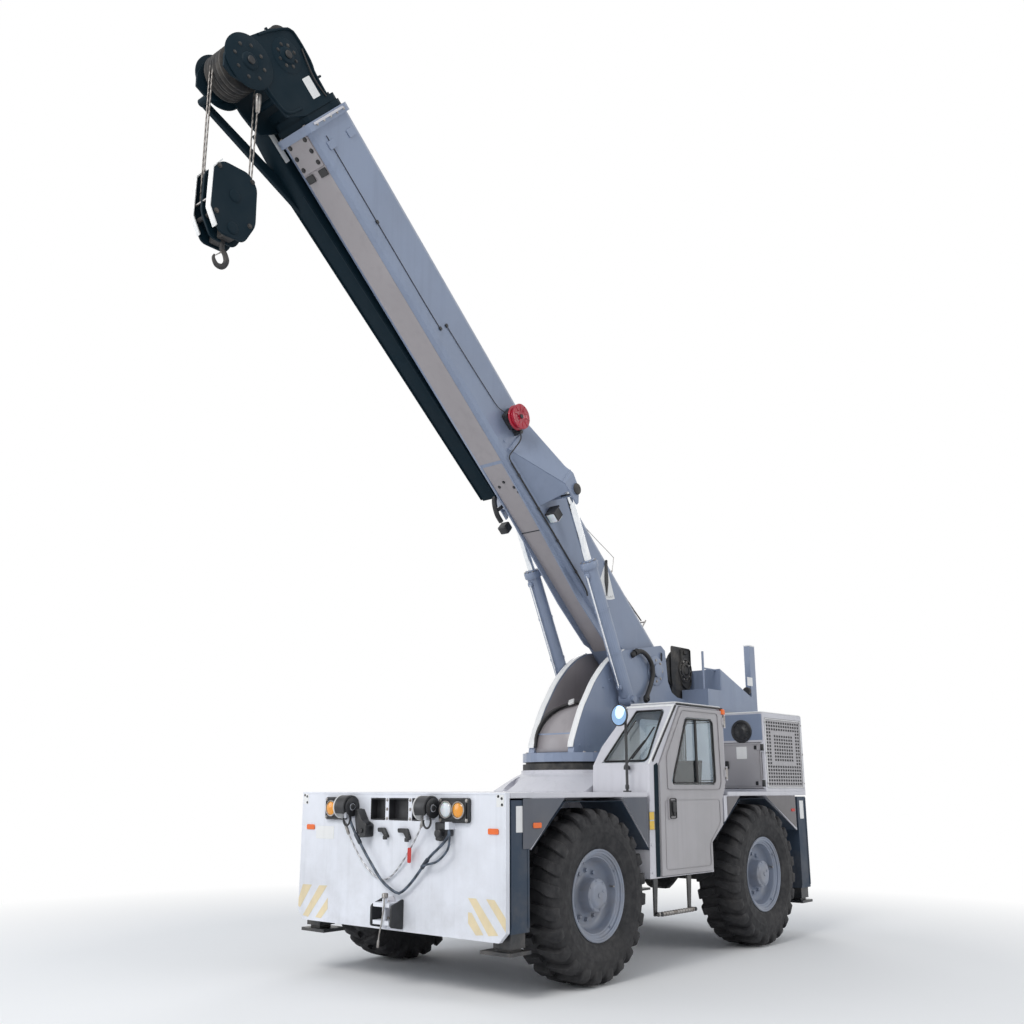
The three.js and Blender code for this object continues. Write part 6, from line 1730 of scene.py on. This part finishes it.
class CRANE_OT_hook_block(bpy.types.Operator):
    """Head sheaves, four rope falls, hook block with pale edge plates, and the load hook"""

    bl_idname = "crane.hook_block"
    bl_label = "Hook Block"

    def execute(self, context):
        y0, z0 = float(NOSE_PIN[1]), float(NOSE_PIN[2])
        r = context.scene.crane_sizes.hoist_rope_diameter / 2

        def hang(x, y, z):
            return np.array([x, y0 + y, z0 + z])

        groove = [(-.052, .022), (-.052, .128), (-.046, .128), (-.046, .150), (-.052, .150), (-.052, .182),
                  (-.047, .1895),
                  (-.038, .1895), (-.030, .176), (-.022, .164), (-.014, .176), (-.004, .1895), (.004, .1895),
                  (.014, .176),
                  (.022, .164), (.030, .176), (.038, .1895), (.047, .1895), (.052, .182), (.052, .022)]
        sheaves = merged([turned(groove, hang(x, 0, 0), (1, 0, 0), 56) for x in (-.086, .022)]
                         + [rod(hang(-.145, 0, 0), hang(.145, 0, 0), .040, 28, .004)])
        add_piece("head_sheaves", sheaves, "hoist_falls", "dark_casting", 40,
                  ("hoist_ropes",))
        y, top = .1703, -.90
        falls = [((-.075, -y - .002, .0), (-.070, -y, -1.13)), ((-.035, -y - .002, .0), (-.046, -y, -1.13)),
                 ((.035, y + .002, .0), (.046, y, -1.13)), ((.110, .165, -.20), (.070, y, -1.13))]
        for k, (high, low) in enumerate(falls):
            a, b = hang(*high), hang(*low)
            line = a + (b - a) * np.linspace(0, 1, 12)[:, None]
            rope_piece(f"rope_fall_{k + 1}", line, r, "hoist_falls", "greased_rope", sides=10)
        socket = merged([turned([(-.11, .010), (-.10, .017), (.0, .026), (.05, .026), (.05, .010)],
                                hang(.110, .165, -.22),
                                (-.03, .0, 1), 20)])
        add_piece("rope_socket", socket, "hoist_falls", "worn_steel", 40)

        cheek = softened([(-.118, top), (-.200, top - .090), (-.205, top - .420), (-.110, top - .600),
                          (.110, top - .600),
                          (.205, top - .420), (.200, top - .090), (.118, top)], .045, 4)
        plates = [placed(prism(cheek, lo, hi, .004), hang(0, 0, 0), (0, 1, 0), (0, 0, 1), (1, 0, 0))
                  for lo, hi in ((-.126, -.105), (-.011, .011), (.105, .126))]
        hubs = [turned([(.126, .004), (.126, .046), (.129, .050), (.132, .046), (.134, .030), (.134, .004)],
                       hang(0, 0, z), (s, 0, 0), 32) for s in (-1, 1) for z in (top - .25, top - .52)]
        lower = placed(prism(rounded(-.104, .104, -.056, .056, .02), -.042, .042, .008),
                       hang(0, 0, top - .543), (1, 0, 0),
                       (0, 1, 0))
        nut = turned([(.0, .004), (.0, .050), (.030, .050), (.040, .042), (.040, .004)],
                     hang(0, 0, top - .500),
                     (0, 0, 1), 6)
        spacers = [rod(hang(-.105, sy * .150, z), hang(.105, sy * .150, z), .018, 16, .003)
                   for sy in (-1, 1) for z in (top - .060, top - .440)]
        add_piece("hook_block_cheeks", merged(plates + hubs), "hoist_falls", "dark_blue_green_paint",
                  40,
                  ("hook_block",))
        add_piece("hook_block_crosshead", merged([lower, nut] + spacers), "hoist_falls", "dark_casting",
                  40)
        small = [(-.042, .024), (-.042, .150), (-.037, .164), (-.028, .164), (-.010, .146), (.010, .146),
                 (.028, .164),
                 (.037, .164), (.042, .150), (.042, .024)]
        add_piece("hook_block_sheaves", merged([turned(small, hang(x, 0, top - .25), (1, 0, 0), 48)
                                                for x in (-.058, .058)]),
                  "hoist_falls", "dark_casting", 40)
        # pale plates along the front edges of the two outer cheeks
        pale = []
        for x0, x1 in ((.072, .1265), (-.1265, -.090)):
            strip = softened([(-.130, top + .012), (-.206, top - .086), (-.211, top - .422),
                              (-.140, top - .560),
                              (-.132, top - .546), (-.199, top - .418), (-.194, top - .094),
                              (-.122, top + .002)], .004, 2)
            pale.append(placed(prism(strip, x0, x1, .003), hang(0, 0, 0), (0, 1, 0), (0, 0, 1), (1, 0, 0)))
        add_piece("hook_block_edge_plates", merged(pale), "hoist_falls", "white_paint_and_highlight")
        guard = pipe(smooth_path([hang(-.10, -.185, top - .33), hang(.0, -.192, top - .335),
                                  hang(.10, -.185, top - .33)], 12),
                     .009, 8)
        add_piece("hook_block_guard", guard, "hoist_falls", "worn_steel", 40)
        marks = [bolt_heads(np.array([hang(s * .1262, yy, z) for yy,
                                      z in ((-.150, top - .060), (.150, top - .060),
                                                                         (-.150, top - .440),
                                            (.150, top - .440))]),
                            (s, 0, 0), .016, .010) for s in (-1, 1)]
        add_piece("hook_block_bolts", merged(marks), "hoist_falls", "dark_casting")

        base = top - .5903
        path = smooth_path([hang(0, *q) for q in ((0, base + .028), (0, base - .030), (.004, base - .062),
                                                  (.032, base - .096),
                                                  (.046, base - .150), (.016, base - .200),
                                                  (-.036, base - .204),
                                                  (-.066, base - .162), (-.060, base - .128))], 44)
        u = np.linspace(0, 1, 44)
        radii = np.interp(u, [0, .12, .25, .45, .68, .88, .96, 1],
                          [.0205, .020, .019, .0225, .0225, .015, .011, .006])
        add_piece("load_hook_forging", tapered(path, radii, 20), "load_hook", "dark_casting",
                  60, ("hook",))
        latch = tapered(smooth_path([hang(0, .014, base - .072), hang(0, -.022, base - .105),
                                     hang(0, -.050, base - .132)], 8),
                        np.linspace(.006, .004, 8), 8)
        add_piece("load_hook_latch", latch, "load_hook", "worn_steel", 50)
        return {"FINISHED"}


# ------------------------------------------------------------------ hood, deck, outriggers and seat
HOOD_FRONT, HOOD_REAR, HOOD_TOP = 1.650, 2.575, 2.275


class CRANE_OT_hood_dress(bpy.types.Operator):
    """Perforated radiator guard, door details, round breather, a painted-shade skin on the upper front, lid and
    rear grille of the engine hood
    """

    bl_idname = "crane.hood_dress"
    bl_label = "Engine Hood Dress"

    def execute(self, context):
        body = "carrier"
        hole = context.scene.crane_sizes.guard_hole
        y0, y1, z0, z1 = HOOD_FRONT + .0405, HOOD_REAR - .0305, 1.5005, 2.2245
        sheet = on_side(prism(rounded(y0, y1, z0, z1, .004), -.0138, -.0045, .001))
        add_piece("radiator_guard_sheet", sheet, body, "door_gray_paint", 32,
                  ("radiator_guard",))
        frame = on_side(band(rounded(y0 - .004, y1 + .004, z0 - .004, z1 + .004, .006), .018, .010, .0004,
                             .007))
        add_piece("radiator_guard_frame", frame, body, "white_paint_and_highlight", 40)
        cols, rows = np.arange(14), np.arange(19)
        ys = y0 + .060 + cols * (y1 - y0 - .120) / 13
        zs = z1 - .045 - rows * (z1 - z0 - .090) / 18
        c, w = np.meshgrid(cols, rows)
        blank = ((w == 3) & (c >= 2) & (c <= 11)) | ((w == 12) & (c >= 2) & (c <= 11)) \
            | (((c == 2) | (c == 11)) & (w >= 3) & (w <= 12))
        keep = ~blank
        size = .5 * hole
        base = prism(rounded(-size, size, -.7 * size, .7 * size, .003, 1), -.0040, -.0010, .0008)
        holes = [on_side(moved(base, (ys[i], zs[j], 0))) for i, j in zip(c[keep], w[keep])]
        add_piece("radiator_guard_holes", merged(holes), body, "gasket_rubber")
        studs = [(SIDE_X + .0072, y, z) for y in (y0 - .004, y1 + .004) for z in (z0 + .05, 1.86, z1 - .05)]
        add_piece("radiator_guard_bolts", bolt_heads(np.array(studs), (1, 0, 0), .007, .005), body,
                  "worn_steel")

        front = np.array([0, -1.0, 0])
        # painted shade: a thin skin in the shaded boom blue over the hood's upper front face
        upper = placed(prism(rounded(.672, 1.160, 1.992, 2.262, .008), .0004, .0020, .0008),
                       (0, HOOD_FRONT, 0), (1, 0, 0),
                       (0, 0, 1), front)
        c0 = np.array([.925, HOOD_FRONT, 2.085])
        ring = turned([(-.026, .088), (-.026, .0915), (.0, .0915), (.0024, .118), (.008, .120), (.012, .112),
                       (.012, .094),
                       (.002, .088)], c0, front, 48, True)
        cone = turned([(.0022, .004), (.0022, .0935), (.0036, .094), (.0045, .060), (.009, .052),
                       (.011, .034),
                       (.015, .030), (.015, .004)], c0, front, 40)
        blades = [rod(c0 + (.036 * math.cos(a), -.005, .036 * math.sin(a)), c0 + (.090 * math.cos(a), -.006,
                      .090 * math.sin(a)), .0035, 8, .001) for a in np.arange(9) * 2 * math.pi / 9]
        add_piece("breather", merged([ring, cone] + blades), body, "satin_black", 40)
        add_piece("hood_front_shade_skin", upper, body, "shaded_boom_blue_paint")
        lid = prism(rounded(-1.168, 1.168, HOOD_FRONT - .006, HOOD_REAR - .002, .016), HOOD_TOP + .0004,
                    HOOD_TOP + .012, .004)
        add_piece("hood_lid", lid, body, "white_paint_and_highlight", 40)

        door = "hood_door_leaf"
        face = HOOD_FRONT - .006
        seams = [placed(band(rounded(.706, 1.124, 1.516, 1.949, .014), .004, .004, .0003, .004), (0, face, 0),
                        (1, 0, 0),
                        (0, 0, 1), front)]
        add_piece("hood_door_pressing", merged(seams), door, "door_gray_paint", 50)
        label = placed(prism(rounded(.855, .975, 1.800, 1.925, .006), .0003, .0020, .0007), (0, face, 0),
                       (1, 0, 0),
                       (0, 0, 1), front)
        add_piece("hood_door_blank_label", label, door, "white_paint_and_highlight")
        knobs = [turned([(-.034, .004), (-.034, .014), (-.030, .017), (.030, .017), (.034, .014),
                         (.034, .004)],
                        (1.154, HOOD_FRONT - .012, z), (0, 0, 1), 20) for z in (1.55, 1.915)]
        straps = [placed(prism(rounded(1.060, 1.138, z - .020, z + .020, .008), .0003, .006, .002),
                         (0, face, 0),
                         (1, 0, 0), (0, 0, 1), front) for z in (1.55, 1.915)]
        pull = placed(prism(rounded(.722, .762, 1.700, 1.780, .008), .0003, .020, .006), (0, face, 0),
                      (1, 0, 0), (0, 0, 1),
                      front)
        add_piece("hood_door_hinges", merged(knobs + straps + [pull]), door, "satin_black", 40)

        # rear: louvre blades behind the bars, and lamps
        back = np.array([0, 1.0, 0])
        blades = [placed(prism(rounded(-.815, .815, -.002, .002, .001, 1), -.018, .018, .0006),
                         (0, HOOD_REAR - .020, z),
                         (1, 0, 0), (0, .6, .8)) for z in np.arange(1.590, 2.120, .046)]
        add_piece("rear_louvres", merged(blades), body, "satin_black")
        lamps = [turned(lens(.045), (x, HOOD_REAR + .0144, 1.640), back, 28) for x in (-1.03, 1.03)]
        boxes = [placed(prism(rounded(x - .075, x + .075, 1.570, 1.710, .016), .0004, .014, .005),
                        (0, HOOD_REAR, 0),
                        (1, 0, 0), (0, 0, 1), back) for x in (-1.03, 1.03)]
        add_piece("rear_lamps", merged(lamps), body, "red_gloss", 40)
        add_piece("rear_lamp_boxes", merged(boxes), body, "satin_black")
        return {"FINISHED"}


class CRANE_OT_carrier_dress(bpy.types.Operator):
    """Arch gussets and liners in painted shade, deck lips, a marker, and the ribs (in the legs' painted-shade
    slate) and blank labels of the outrigger legs
    """

    bl_idname = "crane.carrier_dress"
    bl_label = "Carrier Dress"

    def execute(self, context):
        f, r, z = AXLE_Y["front"], AXLE_Y["rear"], 1.424
        # painted shade: thin dark plates on the arch gussets, dark gray at the front and warm gray at the rear,
        # where the sides lie in shade
        gussets = {"gusset_paint": [
            [(f - .892, z), (f - .372, z), (f - .385, 1.412), (f - .800, 1.060), (f - .892, 1.060)],
            [(f + .430, z), (f + .810, z), (f + .810, 1.02), (f + .828, .992), (f + .440, 1.412)]],
            "warm_gusset_paint": [
            [(r - .600, z), (r - .336, z), (r - .420, 1.372), (r - .600, 1.230)],
            [(r + .210, z), (r + .890, z), (r + .890, 1.090), (r + .240, 1.410)]]}
        for finish, outlines in gussets.items():
            plates = [on_side(slab(q, .0004, .0030, .008, .001)) for q in outlines]
            add_piece("arch_" + finish.replace("_paint", "s"), merged(plates + [mirrored(q) for q in plates]),
                      "carrier",
                      finish)
        # painted shadow: dark slate sheets lining the insides of the wheel arches
        liners = []
        for a, b in (((-2.200, 1.051), (-1.779, 1.397)), ((-1.779, 1.3975), (-.986, 1.3975)),
                     ((-.986, 1.397), (-.584, .984)),
                     ((.535, 1.028), (1.080, 1.397)), ((1.080, 1.3975), (1.613, 1.3975)),
                     ((1.613, 1.397), (2.300, 1.066))):
            a, b = np.array(a), np.array(b)
            along = (b - a) / np.linalg.norm(b - a)
            n = np.array([along[1], -along[0]]) * .003
            liners.append(along_x(prism([a, b, b + n, a + n], .720, 1.168, .0006)))
        add_piece("arch_shadow_liners", merged(liners + [mirrored(q) for q in liners]), "carrier", "shade_slate_paint")
        lips = []
        for a, b in ((PLATE_Y + .05, -.600), (.830, 2.560)):
            lips.append(on_side(prism(rounded(a, b, 1.429, 1.4665, .006), .0004, .006, .002)))
        add_piece("deck_lips", merged(lips + [mirrored(q) for q in lips]), "carrier", "light_gray_paint",
                  40)
        marker = on_side(prism(rounded(r + .780, r + .860, 1.260, 1.290, .006), .0032, .009, .002))
        add_piece("rear_gusset_marker", marker, "carrier", "red_tag")
        for end in ("front", "rear"):
            for side, sign in (("left", 1), ("right", -1)):
                body = f"{end}_{side}_beam"
                leg = bpy.data.objects[f"{end}_{side}_outrigger"]
                box = np.array([v[:] for v in leg.bound_box]) - SHIFT
                out = float(np.abs(box[:, 0]).max())
                y0, y1 = float(box[:, 1].min()), float(box[:, 1].max())
                mid = (y0 + y1) / 2
                # the ribs take the legs' painted-shade slate
                faces = [on_side(prism(rounded(edge - .010, edge + .010, .500, 1.402, .005, 2), .0003, .006,
                                       .002), out)
                         for edge in (y0 + .014, y1 - .014)]
                label = [on_side(prism(rounded(mid - .046, mid + .046, 1.180, 1.370, .006), .0003, .0020,
                                       .0007), out)]
                if sign < 0:
                    faces, label = [mirrored(q) for q in faces], [mirrored(q) for q in label]
                add_piece(f"{end}_{side}_leg_ribs", merged(faces), body, "shade_slate_paint")
                add_piece(f"{end}_{side}_leg_label", merged(label), body, "white_paint_and_highlight")
        return {"FINISHED"}


class CRANE_OT_seat(bpy.types.Operator):
    """Seat cushion: a smaller block remeshed and swelled by cloth pressure, then piped round its edge"""

    bl_idname = "crane.seat"
    bl_label = "Seat Cushion"

    def execute(self, context):
        scene = context.scene
        source = bpy.data.objects["seat_cushion"]
        corners = np.array([v[:] for v in source.bound_box])
        low, high = corners.min(0) + (.010, .010, .0005), corners.max(0) - (.010, .010, .012)
        shape = prism(rounded(low[0], high[0], low[1], high[1], .045, 6), low[2], high[2], .022)
        mesh = bpy.data.meshes.new("seat_cushion_cover")
        mesh.from_pydata(shape[0].tolist(), [], shape[1])
        piece = bpy.data.objects.new("seat_cushion_cover", mesh)
        scene.collection.objects.link(piece)
        mesh.materials.append(FINISHES["seat_vinyl"])
        context.view_layer.objects.active = piece
        remesh = piece.modifiers.new("remesh", "REMESH")
        remesh.mode, remesh.voxel_size = "VOXEL", .006
        bpy.ops.object.modifier_apply(modifier="remesh")
        start = np.empty(len(mesh.vertices) * 3)
        mesh.vertices.foreach_get("co", start)
        cloth = piece.modifiers.new("cloth", "CLOTH")
        cloth.settings.use_pressure = True
        cloth.settings.uniform_pressure_force = 4.0
        cloth.settings.effector_weights.gravity = 0.0
        cloth.settings.quality = 4
        cloth.point_cache.frame_start, cloth.point_cache.frame_end = 1, 20
        for frame in range(1, 21):
            scene.frame_set(frame)
        bpy.ops.object.modifier_apply(modifier="cloth")
        scene.frame_set(1)
        moved_to = np.empty(len(piece.data.vertices) * 3)
        piece.data.vertices.foreach_get("co", moved_to)
        step = (moved_to - start).reshape(-1, 3)
        length = np.linalg.norm(step, axis=1, keepdims=True)
        step *= np.minimum(1, .007 / np.maximum(length, 1e-9))
        points = start.reshape(-1, 3) + step
        flat = start.reshape(-1, 3)[:, 2] < low[2] + .004
        points[flat, 2] = start.reshape(-1, 3)[flat, 2]
        piece.data.vertices.foreach_set("co", points.ravel())
        smooth = piece.modifiers.new("smooth", "SUBSURF")
        smooth.levels = smooth.render_levels = 1
        piece.data.shade_smooth()
        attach(piece, "carrier")
        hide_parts("seat_cushion")
        z = (low[2] + high[2]) / 2
        ring = rounded(low[0] - .003, high[0] + .003, low[1] - .003, high[1] + .003, .045, 6)
        path = np.column_stack([ring, np.full(len(ring), z + .012)]) - SHIFT
        add_piece("seat_cushion_piping", pipe(path, .0045, 8, True), "carrier", "seat_vinyl",
                  60)
        return {"FINISHED"}


class CRANE_PT_parts(bpy.types.Panel):
    """Lists the crane's sizes, colours and pieces"""

    bl_idname = "CRANE_PT_parts"
    bl_label = "Rough-Terrain Crane"
    bl_space_type = "VIEW_3D"
    bl_region_type = "UI"
    bl_category = "Crane"

    def draw(self, context):
        layout = self.layout
        for group in (context.scene.crane_look, context.scene.crane_sizes):
            box = layout.box()
            for key in group.__annotations__:
                box.prop(group, key)
        column = layout.column(align=True)
        for operator in OPERATORS:
            column.operator(operator.bl_idname)


OPERATORS = [CRANE_OT_finishes, CRANE_OT_stage, CRANE_OT_slings, CRANE_OT_tyres, CRANE_OT_rims,
             CRANE_OT_front_dress, CRANE_OT_cab_dress, CRANE_OT_cab_step, CRANE_OT_turntable_dress,
             CRANE_OT_winch_dress, CRANE_OT_boom_dress, CRANE_OT_cylinder_dress, CRANE_OT_nose_dress,
             CRANE_OT_jib, CRANE_OT_hook_block, CRANE_OT_hood_dress, CRANE_OT_carrier_dress, CRANE_OT_seat]
CLASSES = [CraneLook, CraneSizes, *OPERATORS, CRANE_PT_parts]


def register():
    """Registers the property groups, operators and panel."""
    for cls in CLASSES:
        bpy.utils.register_class(cls)
    bpy.types.Scene.crane_look = PointerProperty(type=CraneLook)
    bpy.types.Scene.crane_sizes = PointerProperty(type=CraneSizes)


def unregister():
    """Takes them away again."""
    del bpy.types.Scene.crane_sizes
    del bpy.types.Scene.crane_look
    for cls in reversed(CLASSES):
        bpy.utils.unregister_class(cls)


def main():
    """Builds every group in order."""
    register()
    for operator in OPERATORS:
        group, name = operator.bl_idname.split(".")
        getattr(getattr(bpy.ops, group), name)()


if __name__ == "__main__":
    main()
